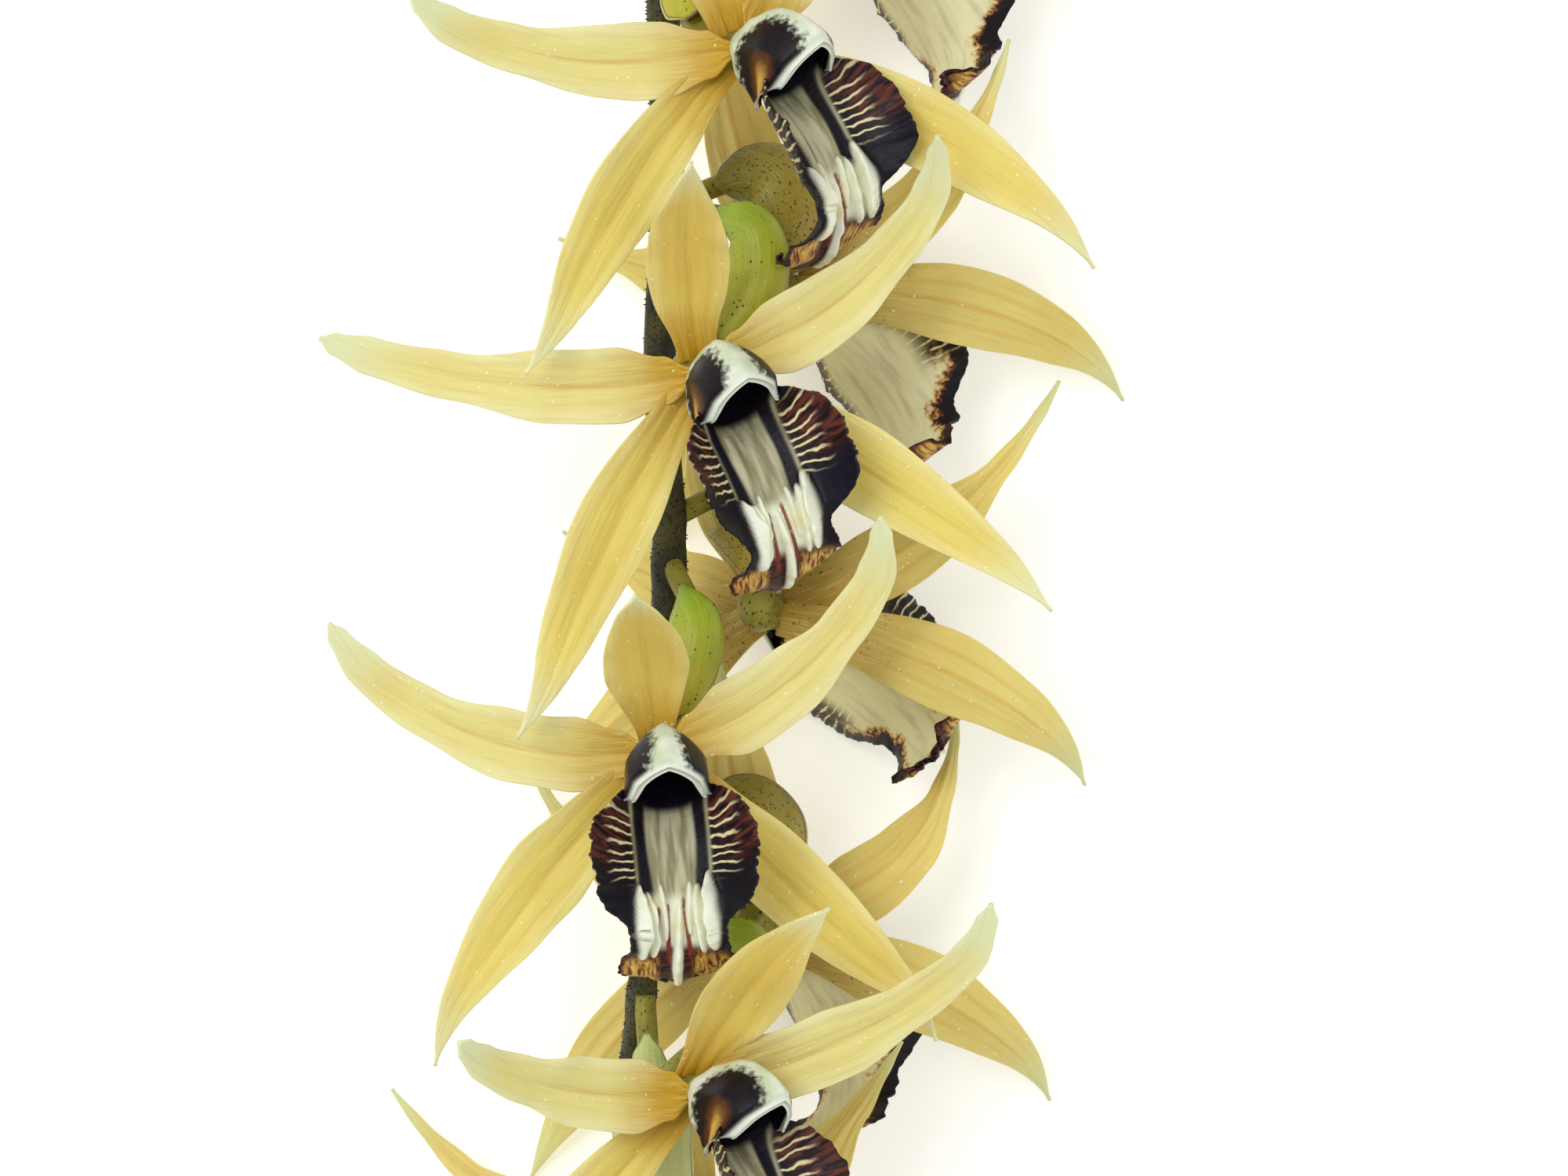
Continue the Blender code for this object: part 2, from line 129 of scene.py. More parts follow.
def along(points: Array, t: Array) -> Array:
    """Points at shares t of a Catmull-Rom line: on each span a cubic through both of its ends.

    Args:
        points: The points that the line passes, one a row.
        t: Shares from 0 to 1.

    Returns:
        One point for each share, along a new last axis.
    """
    points = np.asarray(points, float)
    count = len(points) - 1
    ends = np.vstack([2 * points[0] - points[1], points, 2 * points[-1] - points[-2]])
    spot = np.clip(np.asarray(t, float), 0.0, 1.0) * count
    i = np.minimum(spot.astype(int), count - 1)
    x = (spot - i)[..., None]
    before, here, there, after = (ends[i + k] for k in range(4))
    return 0.5 * (
        2.0 * here
        + (there - before) * x
        + (2.0 * before - 5.0 * here + 4.0 * there - after) * x**2
        + (3.0 * here - before - 3.0 * there + after) * x**3
    )


def direction(line: Callable[[Array], Array], t: Array, step: float = 0.004) -> Array:
    """Unit direction of a line at shares t, from the points a step before and after each."""
    return unit(line(np.minimum(t + step, 1.0)) - line(np.maximum(t - step, 0.0)))


def dot(a: Array, b: Array) -> Array:
    """Scalar products along the last axis, which is kept."""
    return np.sum(a * b, axis=-1, keepdims=True)


def tint(code: str, strength: float = 1.0) -> tuple[float, float, float, float]:
    """Linear colour of a six-digit hex code.

    Args:
        code: Red, green and blue as two hex digits each.
        strength: Factor on all three.

    Returns:
        Linear red, green, blue and an alpha of 1.
    """
    parts = [int(code[i : i + 2], 16) / 255.0 for i in (0, 2, 4)]
    linear = [p / 12.92 if p <= 0.04045 else ((p + 0.055) / 1.055) ** 2.4 for p in parts]
    return (*(min(value * strength, 1.0) for value in linear), 1.0)


@dataclass
class Surface:
    """A closed mesh in the making.

    Attributes:
        points: Points in table millimetres, one a row.
        faces: Corner indices of each face.
        values: Named numbers or vectors, one for each point.
    """

    points: Array
    faces: list[list[int]]
    values: dict[str, Array] = field(default_factory=dict)

    def volume(self) -> float:
        """Signed volume: the sum of the tetrahedra from the origin to each face's triangles."""
        total = 0.0
        for size in {len(face) for face in self.faces}:
            corners = self.points[np.array([f for f in self.faces if len(f) == size])]
            for k in range(1, size - 1):
                total += float(np.linalg.det(corners[:, [0, k, k + 1]]).sum())
        return total / 6.0

    def outward(self) -> Surface:
        """The same surface with every face turned outwards."""
        if self.volume() < 0.0:
            self.faces = [face[::-1] for face in self.faces]
        return self


def grid_faces(rows: int, columns: int, wrap: bool = False) -> Array:
    """Quads of a grid of rows x columns points numbered row by row.

    Args:
        rows: Number of rows.
        columns: Points in a row.
        wrap: True where the last column meets the first.

    Returns:
        Four corner indices for each quad.
    """
    index = np.arange(rows * columns).reshape(rows, columns)
    if wrap:
        index = np.hstack([index, index[:, :1]])
    a, b, c, d = index[:-1, :-1], index[1:, :-1], index[1:, 1:], index[:-1, 1:]
    return np.stack([a, b, c, d], axis=-1).reshape(-1, 4)


def thick_sheet(middle: Array, over: Array, under: Array, values: dict[str, Array]) -> Surface:
    """A grown sheet closed into a solid: the middle surface moved both ways along its normal.

    The normal is the cross product of the steps in u and v, and a strip of quads joins the
    rims of the two faces. The value "side" is 1 on the over face and 0 on the under face.

    Args:
        middle: Points of the middle surface, u by v by 3.
        over: Distance of the over face from the middle, u by v.
        under: Distance of the under face from the middle, u by v.
        values: Named numbers on the grid, u by v or u by v by 3.

    Returns:
        The closed surface.
    """
    rows, columns = middle.shape[:2]
    normal = unit(np.cross(np.gradient(middle, axis=0), np.gradient(middle, axis=1)))
    top = (middle + normal * over[..., None]).reshape(-1, 3)
    bottom = (middle - normal * under[..., None]).reshape(-1, 3)
    index = np.arange(rows * columns).reshape(rows, columns)
    rim = np.concatenate([index[:-1, 0], index[-1, :-1], index[:0:-1, -1], index[0, :0:-1]])
    after, count = np.roll(rim, -1), rows * columns
    quads = grid_faces(rows, columns)
    faces = np.vstack(
        [quads, quads[:, ::-1] + count, np.stack([rim, rim + count, after + count, after], 1)]
    )
    kept = {k: np.concatenate([v.reshape(count, *v.shape[2:])] * 2) for k, v in values.items()}
    kept["side"] = np.repeat((1.0, 0.0), count)
    return Surface(np.vstack([top, bottom]), faces.tolist(), kept).outward()


def closed_tube(rings: Array, values: dict[str, Array]) -> Surface:
    """A swept body: rings of points joined by quads, each end closed by a strip across it.

    The strip pairs point k of the end ring with point n - k, so a folded ring closes too.

    Args:
        rings: Points, row by ring point by 3, with an even number of ring points.
        values: Named numbers, row by ring point.

    Returns:
        The closed surface.
    """
    rows, count = rings.shape[:2]
    faces = grid_faces(rows, count, wrap=True).tolist()
    for start, turned in ((0, False), ((rows - 1) * count, True)):
        for k in range(count // 2):
            corners = dict.fromkeys((k, k + 1, (count - k - 1) % count, (count - k) % count))
            face = [start + corner for corner in corners]
            faces.append(face if turned else face[::-1])
    kept = {k: v.reshape(rows * count, *v.shape[2:]) for k, v in values.items()}
    return Surface(rings.reshape(-1, 3), faces, kept).outward()


def wavy(t: Array, seed: int, waves: int = 4, lowest: float = 1.0) -> Array:
    """An irregular wave from -1 to 1: a sum of sines whose pace and phase come from a seed.

    Args:
        t: Positions.
        seed: Number that fixes the wave.
        waves: How many sines are added.
        lowest: Turns that the slowest sine makes from 0 to 1.

    Returns:
        The wave at each position.
    """
    draw = np.random.default_rng(seed)
    total = np.zeros(np.shape(t))
    for k in range(waves):
        pace = lowest * (1.0 + 0.9 * k + 0.4 * draw.random())
        total += np.sin(2.0 * np.pi * (pace * t + draw.random())) / (1.0 + 0.5 * k)
    return total / (0.6 * waves)


def put_piece(name: str, surface: Surface, finish: Material, slot: Slot, *nodes: str) -> None:
    """Put a surface into the scene as a piece that rides on the part.

    Args:
        name: Name of the piece.
        surface: Its closed surface.
        finish: Its material.
        slot: Slot of the record that the finish belongs to; not used.
        *nodes: Solids that the piece stands for.
    """
    mesh = bpy.data.meshes.new(name)
    mesh.from_pydata(((surface.points - ORIGIN) * MM).tolist(), [], surface.faces)
    for key, value in surface.values.items():
        kind, cell = ("FLOAT_VECTOR", "vector") if value.ndim == 2 else ("FLOAT", "value")
        attribute = mesh.attributes.new(key, kind, "POINT")
        attribute.data.foreach_set(cell, np.ascontiguousarray(value, np.float32).ravel())
    mesh.materials.append(finish)
    mesh.shade_smooth()
    piece = bpy.data.objects.new(name, mesh)
    bpy.context.scene.collection.objects.link(piece)
    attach(piece, BODY)
    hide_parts(*nodes)
    LOG.info("%s: %d points, %d faces", name, len(surface.points), len(surface.faces))


# ---------------------------------------------------------------------------------- finishes


class Bench:
    """A material in the making, with short calls for the nodes that the finishes share."""

    def __init__(self, name: str, roughness: float) -> None:
        """Start a material with one Principled shader.

        Args:
            name: Name of the material.
            roughness: The shader's roughness where nothing drives it.
        """
        self.material = bpy.data.materials.new(name)
        self.material.use_nodes = True
        self.tree = self.material.node_tree
        self.shader = self.tree.nodes["Principled BSDF"]
        self.set("Roughness", roughness)
        self.place = self.tree.nodes.new("ShaderNodeTexCoord").outputs["Object"]

    def feed(self, socket: Socket, value: object) -> None:
        """Link a socket to another, or set its number or colour."""
        if isinstance(value, Socket):
            self.tree.links.new(value, socket)
        else:
            socket.default_value = value

    def set(self, name: str, value: object) -> None:
        """Set or link one of the shader's own sockets."""
        self.feed(self.shader.inputs[name], value)

    def value(self, name: str, cell: str = "Fac") -> Socket:
        """Output of a named value of the mesh: Fac for a number, Vector for a vector."""
        node = self.tree.nodes.new("ShaderNodeAttribute")
        node.attribute_name = name
        return node.outputs[cell]

    def math(self, operation: str, a: object, b: object = 0.5, c: object = 0.0) -> Socket:
        """Output of a Math node.

        Args:
            operation: The node's operation.
            a: First input, a socket or a number.
            b: Second input.
            c: Third input.

        Returns:
            The result's socket.
        """
        node = self.tree.nodes.new("ShaderNodeMath")
        node.operation = operation
        for socket, given in zip(node.inputs, (a, b, c)):
            self.feed(socket, given)
        return node.outputs[0]

    def times(self, a: object, b: object) -> Socket:
        """Product of two sockets or numbers."""
        return self.math("MULTIPLY", a, b)

    def rise(self, value: object, low: float, high: float) -> Socket:
        """Smooth share of a value between low and high, from 0 to 1."""
        node = self.tree.nodes.new("ShaderNodeMapRange")
        node.interpolation_type = "SMOOTHSTEP"
        self.feed(node.inputs["Value"], value)
        turned = low > high
        node.inputs["From Min"].default_value = min(low, high)
        node.inputs["From Max"].default_value = max(low, high)
        node.inputs["To Min"].default_value = 1.0 if turned else 0.0
        node.inputs["To Max"].default_value = 0.0 if turned else 1.0
        return node.outputs["Result"]

    def mix(self, share: object, a: object, b: object) -> Socket:
        """Colour a at share 0 and b at share 1."""
        node = self.tree.nodes.new("ShaderNodeMix")
        node.data_type = "RGBA"
        self.feed(node.inputs[0], share)
        self.feed(node.inputs[6], a)
        self.feed(node.inputs[7], b)
        return node.outputs[2]

    def parts(self, vector: Socket) -> list[Socket]:
        """The three numbers of a vector."""
        node = self.tree.nodes.new("ShaderNodeSeparateXYZ")
        self.feed(node.inputs[0], vector)
        return list(node.outputs)

    def stretch(self, vector: Socket, by: Triple, shift: Triple = (0, 0, 0)) -> Socket:
        """A vector with each part multiplied and then moved."""
        node = self.tree.nodes.new("ShaderNodeVectorMath")
        node.operation = "MULTIPLY_ADD"
        self.feed(node.inputs[0], vector)
        node.inputs[1].default_value = by
        node.inputs[2].default_value = shift
        return node.outputs[0]

    def noise(self, vector: Socket, scale: float, detail: float = 2.0, swirl: float = 0.0) -> Socket:
        """Soft noise from 0 to 1, mostly from 0.3 to 0.7.

        Args:
            vector: Where the noise is read.
            scale: How many times finer than the vector's unit it is.
            detail: Finer layers that are added.
            swirl: How much the noise distorts itself.

        Returns:
            The noise as a number.
        """
        node = self.tree.nodes.new("ShaderNodeTexNoise")
        self.feed(node.inputs["Vector"], vector)
        node.inputs["Scale"].default_value = scale
        node.inputs["Detail"].default_value = detail
        node.inputs["Distortion"].default_value = swirl
        return node.outputs["Fac"]

    def grain(self, sheet: Socket, by: Triple, detail: float = 2.0, swirl: float = 0.0) -> Socket:
        """Noise on a sheet's own places, drawn out along the axes that by holds small."""
        return self.noise(self.stretch(sheet, by), 1.0, detail, swirl)

    def dots(self, vector: Socket, scale: float, size: float, share: float) -> Socket:
        """Round dots scattered one to a cell.

        Args:
            vector: Where the cells are read.
            scale: Cells to one unit of the vector.
            size: Radius of a dot as a share of a cell.
            share: Share of the cells that hold a dot.

        Returns:
            1 on a dot and 0 off it.
        """
        node = self.tree.nodes.new("ShaderNodeTexVoronoi")
        self.feed(node.inputs["Vector"], vector)
        node.inputs["Scale"].default_value = scale
        spot = self.rise(node.outputs["Distance"], size, 0.55 * size)
        pick = self.parts(node.outputs["Color"])[0]
        return self.math("MULTIPLY", spot, self.math("LESS_THAN", pick, share))

    def bump(self, height: Socket, strength: float, distance: float) -> None:
        """Add a bump of a given depth, in metres, on top of those already there."""
        node = self.tree.nodes.new("ShaderNodeBump")
        node.inputs["Strength"].default_value = strength
        node.inputs["Distance"].default_value = distance
        self.feed(node.inputs["Height"], height)
        before = self.shader.inputs["Normal"].links
        if before:
            self.feed(node.inputs["Normal"], before[0].from_socket)
        self.feed(self.shader.inputs["Normal"], node.outputs["Normal"])

    def colour(self, colour: Socket) -> Material:
        """Give the shader its colour and return the material."""
        self.feed(self.shader.inputs["Base Color"], colour)
        return self.material


@dataclass(frozen=True)
class TepalFinish:
    """Waxy petal tissue: golden at the base, pale greenish at the tip, finely veined.

    The colours are hex codes. The inner side is the one that the flower shows in front, and the
    outer side has a darker keel, olive towards the base with brown specks.
    """

    name: str
    base: str = "C99E26"
    body: str = "E8D570"
    edge: str = "ECE193"
    tip: str = "E4E6B4"
    crease: str = "C8992A"
    back_base: str = "A88C40"
    back_body: str = "E6D47C"
    back_line: str = "D9A93C"
    speck: str = "4A3312"
    # Painted highlight: near-white colour that small dots take, standing in for glints of light on the waxy
    # tissue.
    painted_glint: str = "FFFBE6"

    def make(self) -> Material:
        """Build the material.

        Returns:
            The material, which reads the values "sheet", "along", "across" and "side".
        """
        bench = Bench(self.name, 0.5)
        sheet = bench.value("sheet", "Vector")
        far, wide = bench.value("along"), bench.math("ABSOLUTE", bench.value("across"))
        side = bench.value("side")
        cloud = bench.noise(bench.place, 95.0, 3.0)
        veins = bench.grain(sheet, (2.6, 0.11, 1.0), 3.0)
        fine = bench.grain(sheet, (6.5, 0.25, 1.0))
        body = bench.mix(bench.rise(wide, 0.45, 1.0), tint(self.body), tint(self.edge))
        drift = bench.math("MULTIPLY_ADD", cloud, 0.30, -0.15)
        reach = bench.math("ADD", far, drift)
        inner = bench.mix(bench.rise(reach, 0.30, 0.02), body, tint(self.base))
        middle = bench.times(bench.rise(wide, 0.17, 0.0), bench.rise(far, 0.86, 0.35))
        middle = bench.times(middle, bench.rise(veins, 0.25, 0.6))
        inner = bench.mix(bench.times(middle, 0.5), inner, tint(self.crease))
        lines = bench.times(bench.rise(wide, 0.10, 0.0), bench.rise(far, 0.97, 0.7))
        flank = bench.times(bench.rise(wide, 0.36, 0.44), bench.rise(wide, 0.60, 0.50))
        flank = bench.times(flank, bench.rise(far, 0.9, 0.5))
        lines = bench.math("MAXIMUM", lines, bench.times(flank, 0.55))
        outer = bench.mix(bench.times(lines, 0.6), tint(self.back_body), tint(self.back_line))
        outer = bench.mix(bench.rise(reach, 0.42, 0.04), outer, tint(self.back_base))
        specks = bench.dots(bench.stretch(sheet, (1.0, 1.0, 0.0)), 1.5, 0.30, 0.62)
        specks = bench.times(specks, bench.rise(reach, 0.34, 0.06))
        outer = bench.mix(bench.times(specks, 0.8), outer, tint(self.speck))
        colour = bench.mix(side, outer, inner)
        colour = bench.mix(bench.rise(far, 0.72, 1.0), colour, tint(self.tip))
        dark = bench.times(bench.rise(veins, 0.48, 0.70), 0.30)
        colour = bench.mix(dark, colour, bench.mix(0.5, colour, tint(self.crease)))
        light = bench.times(bench.rise(fine, 0.50, 0.72), 0.35)
        colour = bench.mix(light, colour, tint(self.edge))
        wash = bench.times(bench.rise(cloud, 0.35, 0.75), 0.28)
        colour = bench.mix(wash, colour, bench.mix(0.6, colour, tint(self.base)))
        # Painted highlight: scattered near-white dots stand in for glints of light caught on the waxy
        # tissue.
        painted_glints = bench.dots(bench.stretch(sheet, (1.0, 1.0, 0.0)), 1.1, 0.16, 0.22)
        colour = bench.mix(bench.times(painted_glints, 0.7), colour, tint(self.painted_glint))
        bench.bump(veins, 0.5, 0.00022)
        bench.bump(bench.grain(sheet, (9.0, 3.0, 1.0)), 0.25, 0.00007)
        rough = bench.math("MULTIPLY_ADD", fine, 0.22, 0.40)
        bench.set("Roughness", rough)
        bench.set("Specular IOR Level", 0.3)
        bench.set("Subsurface Weight", 0.12)
        bench.set("Subsurface Radius", (1.0, 0.8, 0.3))
        bench.set("Subsurface Scale", 0.0008)
        return bench.colour(colour)


@dataclass(frozen=True)
class LipFinish:
    """Lip tissue: near-black maroon, with a pale floor, white keels, cream streaks and gold rim."""

    name: str = "lip_tissue"
    black: str = "0B030C"
    navy: str = "07081C"
    maroon: str = "260B0E"
    brown: str = "6E3424"
    gold: str = "C99A44"
    tan: str = "E0BE6C"
    cream: str = "E8DCA8"
    floor: str = "BDB998"
    floor_shade: str = "8C8663"
    white: str = "F0F3DC"
    red: str = "8A3524"
    back: str = "EAE5B8"

    def make(self) -> Material:
        """Build the material.

        Returns:
            The material, which reads "sheet", "side", "rim" and the zones of the lip.
        """
        bench = Bench(self.name, 0.42)
        sheet = bench.value("sheet", "Vector")
        across, length, _ = bench.parts(sheet)
        side, rim = bench.value("side"), bench.value("rim")
        white, floor, streaks = bench.parts(bench.value("zones_pale", "Vector"))
        brown, gold, red = bench.parts(bench.value("zones_warm", "Vector"))
        cloud = bench.noise(sheet, 0.35, 3.0)
        grain = bench.noise(sheet, 1.9, 3.0)
        fan = bench.grain(sheet, (0.5, 2.8, 1.0), 2.0, 0.4)
        ray = bench.grain(sheet, (2.6, 0.55, 1.0), 3.0, 0.6)
        colour = bench.mix(bench.rise(cloud, 0.42, 0.62), tint(self.black), tint(self.navy))
        colour = bench.mix(bench.times(bench.rise(grain, 0.5, 0.75), 0.5), colour, tint(self.maroon))
        warm = bench.times(brown, bench.rise(fan, 0.30, 0.62))
        colour = bench.mix(warm, colour, tint(self.maroon, 1.6))
        hot = bench.times(bench.rise(brown, 0.35, 1.0), bench.rise(fan, 0.42, 0.66))
        colour = bench.mix(bench.times(hot, 0.8), colour, tint(self.brown))
        marble = bench.times(gold, bench.rise(ray, 0.36, 0.56))
        colour = bench.mix(bench.times(gold, 0.75), colour, tint(self.brown, 0.9))
        colour = bench.mix(marble, colour, tint(self.gold))
        light = bench.times(bench.rise(gold, 0.45, 1.0), bench.rise(ray, 0.48, 0.68))
        colour = bench.mix(bench.times(light, 0.8), colour, tint(self.tan))
        bend = bench.grain(sheet, (0.45, 0.45, 1.0))
        phase = bench.math("MULTIPLY_ADD", length, 1.25, bench.times(bend, 1.7))
        phase = bench.math("ADD", phase, bench.times(bench.math("ABSOLUTE", across), -0.16))
        comb = bench.times(bench.math("PINGPONG", phase, 0.5), 2.0)
        stripes = bench.times(bench.rise(comb, 0.62, 0.90), bench.rise(grain, 0.18, 0.42))
        colour = bench.mix(bench.times(stripes, streaks), colour, tint(self.cream))
        shade = bench.grain(sheet, (0.9, 0.16, 1.0))
        pale = bench.mix(bench.rise(shade, 0.35, 0.62), tint(self.floor_shade), tint(self.floor))
        colour = bench.mix(floor, colour, pale)
        stripe = bench.times(red, bench.rise(grain, 0.25, 0.5))
        colour = bench.mix(stripe, colour, tint(self.red))
        keel = bench.mix(bench.rise(cloud, 0.45, 0.8), tint(self.white), tint(self.cream))
        colour = bench.mix(white, colour, keel)
        edge = bench.math("ADD", rim, bench.math("MULTIPLY_ADD", grain, 3.4, -1.7))
        edge = bench.math("ADD", edge, bench.math("MULTIPLY_ADD", cloud, 5.0, -2.5))
        outer = bench.mix(bench.rise(shade, 0.4, 0.9), tint(self.back), tint(self.floor))
        outer = bench.mix(bench.rise(edge, 3.6, 2.1), outer, tint(self.gold))
        outer = bench.mix(bench.rise(edge, 2.9, 1.9), outer, tint(self.brown))
        outer = bench.mix(bench.rise(edge, 2.5, 1.5), outer, tint(self.black))
        streaked = bench.mix(stripes, tint(self.black), tint(self.cream))
        streaked = bench.mix(bench.rise(fan, 0.5, 0.62), streaked, tint(self.maroon))
        outer = bench.mix(bench.times(bench.value("lobe"), 0.9), outer, streaked)
        colour = bench.mix(side, outer, colour)
        bench.bump(grain, 0.5, 0.00016)
        bench.bump(fan, 0.35, 0.00016)
        bench.set("Roughness", bench.math("MULTIPLY_ADD", grain, 0.3, 0.38))
        bench.set("Specular IOR Level", 0.25)
        return bench.colour(colour)


@dataclass(frozen=True)
class ColumnFinish:
    """Column tissue: pale green hood, blotched dark on its flanks, its inner wall black as dark underside
    and painted shade.
    """

    name: str = "column_tissue"
    pale: str = "C6D2AE"
    white: str = "E6ECDA"
    black: str = "08040E"
    maroon: str = "1E0B10"
    brown: str = "5A3214"
    golden: str = "C9A04A"
    olive: str = "7E7830"
    speck: str = "241B06"

    def make(self) -> Material:
        """Build the material.

        Returns:
            The material, which reads "sheet", "hood", "blotch", "spot", "within" and "edge".
        """
        bench = Bench(self.name, 0.45)
        sheet = bench.value("sheet", "Vector")
        hood, blotch = bench.value("hood"), bench.value("blotch")
        grain = bench.noise(bench.place, 1300.0, 3.0)
        cloud = bench.noise(bench.place, 330.0, 2.0)
        stalk = bench.mix(bench.rise(cloud, 0.35, 0.65), tint(self.olive), tint(self.olive, 1.4))
        specks = bench.dots(sheet, 1.9, 0.34, 0.75)
        stalk = bench.mix(bench.times(specks, 0.85), stalk, tint(self.speck))
        pale = bench.mix(bench.rise(cloud, 0.3, 0.7), tint(self.pale), tint(self.white))
        colour = bench.mix(hood, stalk, pale)
        rough_edge = bench.math("MULTIPLY_ADD", grain, 0.42, -0.21)
        dark = bench.rise(bench.math("ADD", blotch, rough_edge), 0.32, 0.50)
        patch = bench.mix(bench.rise(grain, 0.45, 0.7), tint(self.black), tint(self.maroon))
        colour = bench.mix(dark, colour, patch)
        spot = bench.math("ADD", bench.value("spot"), bench.times(rough_edge, 0.5))
        colour = bench.mix(bench.rise(spot, 0.12, 0.5), colour, tint(self.brown))
        colour = bench.mix(bench.rise(spot, 0.42, 0.9), colour, tint(self.golden))
        colour = bench.mix(bench.value("edge"), colour, tint(self.white))
        # The hood's inner wall painted black: partly the column's own dark underside, partly painted shade
        # in the hood's hollow.
        colour = bench.mix(bench.value("dark_and_shaded_within"), colour, tint(self.black))
        bench.bump(grain, 0.3, 0.00012)
        bench.set("Specular IOR Level", 0.22)
        bench.set("Subsurface Weight", 0.05)
        bench.set("Subsurface Scale", 0.0006)
        return bench.colour(colour)


@dataclass(frozen=True)
class BractFinish:
    """Bract tissue: leafy green, brighter at its base, dotted, with a dry brown tip."""

    name: str
    base: str
    body: str
    margin: str
    dot: str = "1E1C06"
    dots: float = 0.5
    density: float = 1.0
    dry: str = "4A2E16"
    dry_from: float = 0.97

    def make(self) -> Material:
        """Build the material.

        Returns:
            The material, which reads "sheet", "along" and "across".
        """
        bench = Bench(self.name, 0.5)
        sheet = bench.value("sheet", "Vector")
        far, wide = bench.value("along"), bench.math("ABSOLUTE", bench.value("across"))
        veins = bench.grain(sheet, (2.2, 0.12, 1.0), 3.0)
        cloud = bench.noise(bench.place, 160.0, 3.0)
        colour = bench.mix(bench.rise(far, 0.0, 0.75), tint(self.base), tint(self.body))
        colour = bench.mix(bench.times(bench.rise(veins, 0.4, 0.7), 0.25), colour, tint(self.margin))
        colour = bench.mix(bench.times(bench.rise(cloud, 0.4, 0.7), 0.35), colour, tint(self.base, 0.7))
        colour = bench.mix(bench.rise(wide, 0.86, 0.97), colour, tint(self.margin))
        line = bench.times(bench.rise(wide, 0.80, 0.85), bench.rise(wide, 0.91, 0.86))
        colour = bench.mix(bench.times(line, 0.75), colour, tint(self.dry))
        specks = bench.dots(bench.stretch(sheet, (1.0, 1.0, 0.0)), 1.7 * self.density, 0.33, self.dots)
        moved = bench.stretch(sheet, (1.0, 1.0, 0.0), (7.0, 3.0, 0.0))
        small = bench.dots(moved, 3.4 * self.density, 0.30, self.dots)
        specks = bench.math("MAXIMUM", specks, bench.times(small, 0.7))
        colour = bench.mix(bench.times(specks, 0.85), colour, tint(self.dot))
        worn = bench.math("ADD", far, bench.math("MULTIPLY_ADD", veins, 0.12, -0.06))
        dried = bench.rise(worn, self.dry_from - 0.03, self.dry_from + 0.03)
        colour = bench.mix(dried, colour, tint(self.dry))
        bench.bump(veins, 0.6, 0.0003)
        bench.bump(specks, 0.4, 0.0001)
        bench.set("Roughness", bench.math("MULTIPLY_ADD", veins, 0.3, 0.3))
        bench.set("Subsurface Weight", 0.08)
        bench.set("Subsurface Scale", 0.0006)
        return bench.colour(colour)


@dataclass(frozen=True)
class StemFinish:
    """Stem skin: dark olive, warty and densely dotted, with a pale pith at the cut."""

    name: str = "stem_skin"
    olive: str = "1F1F05"
    light: str = "45430E"
    black: str = "0C0D03"
    pith: str = "B9BE82"
    ring: str = "6E6A30"

    def make(self) -> Material:
        """Build the material.

        Returns:
            The material, which reads "sheet" and "cut".
        """
        bench = Bench(self.name, 0.6)
        sheet = bench.value("sheet", "Vector")
        cut = bench.value("cut")
        cloud = bench.noise(bench.place, 210.0, 4.0)
        colour = bench.mix(bench.rise(cloud, 0.35, 0.65), tint(self.olive), tint(self.light))
        specks = bench.dots(sheet, 2.1, 0.42, 0.85)
        tiny = bench.dots(bench.stretch(sheet, (1.0, 1.0, 1.0), (5.0, 2.0, 0.0)), 4.6, 0.40, 0.7)
        specks = bench.math("MAXIMUM", specks, tiny)
        colour = bench.mix(bench.times(specks, 0.9), colour, tint(self.black))
        strands = bench.dots(bench.place, 2600.0, 0.4, 0.5)
        pith = bench.mix(bench.times(strands, 0.7), tint(self.pith), tint(self.ring))
        pith = bench.mix(bench.rise(cut, 0.30, 0.05), pith, tint(self.ring))
        colour = bench.mix(bench.rise(cut, 0.0, 0.06), colour, pith)
        bench.bump(specks, 0.8, 0.00015)
        bench.bump(cloud, 0.5, 0.0003)
        return bench.colour(colour)


@dataclass(frozen=True)
class Finishes:
    """The dressed materials of the spike, one for each kind of tissue."""

    front_sepal: Material
    front_petal: Material
    front_dorsal: Material
    rear_tepal: Material
    lip: Material
    column: Material
    front_bract: Material
    rear_bract: Material
    faded_bract: Material
    stem: Material

    def tepal(self, rank: Rank, leaf: Leaf) -> Material:
        """Material of one sepal or petal.

        Args:
            rank: Rank of its flower.
            leaf: Which of the five it is.

        Returns:
            The tissue's material.
        """
        if rank is Rank.REAR:
            return self.rear_tepal
        if leaf is Leaf.DORSAL_SEPAL:
            return self.front_dorsal
        return self.front_petal if leaf.is_petal else self.front_sepal

    @classmethod
    def make(cls) -> Finishes:
        """Build every material once."""
        return cls(
            front_sepal=TepalFinish("front_sepal_tissue").make(),
            front_petal=TepalFinish("front_petal_tissue", body="E6DC8C", edge="EAE5A8", tip="DFE6B8").make(),
            front_dorsal=TepalFinish(
                "front_dorsal_tissue", base="C0931C", body="DFC45E", edge="E4D27E"
            ).make(),
            rear_tepal=TepalFinish("rear_tepal_tissue", body="E4D880", tip="D6DEA4").make(),
            lip=LipFinish().make(),
            column=ColumnFinish().make(),
            front_bract=BractFinish("front_bract_leaf", "86A20E", "B4AF22", "C8C05C", dots=0.18).make(),
            rear_bract=BractFinish(
                "rear_bract_leaf", "7E7614", "A08D30", "A99940", dots=0.85, density=1.2
            ).make(),
            faded_bract=BractFinish(
                "faded_bract_leaf", "B9C678", "C3CC86", "DDDFAE", dots=0.1, dry_from=0.9
            ).make(),
            stem=StemFinish().make(),
        )


# ------------------------------------------------------------------------------------ flowers


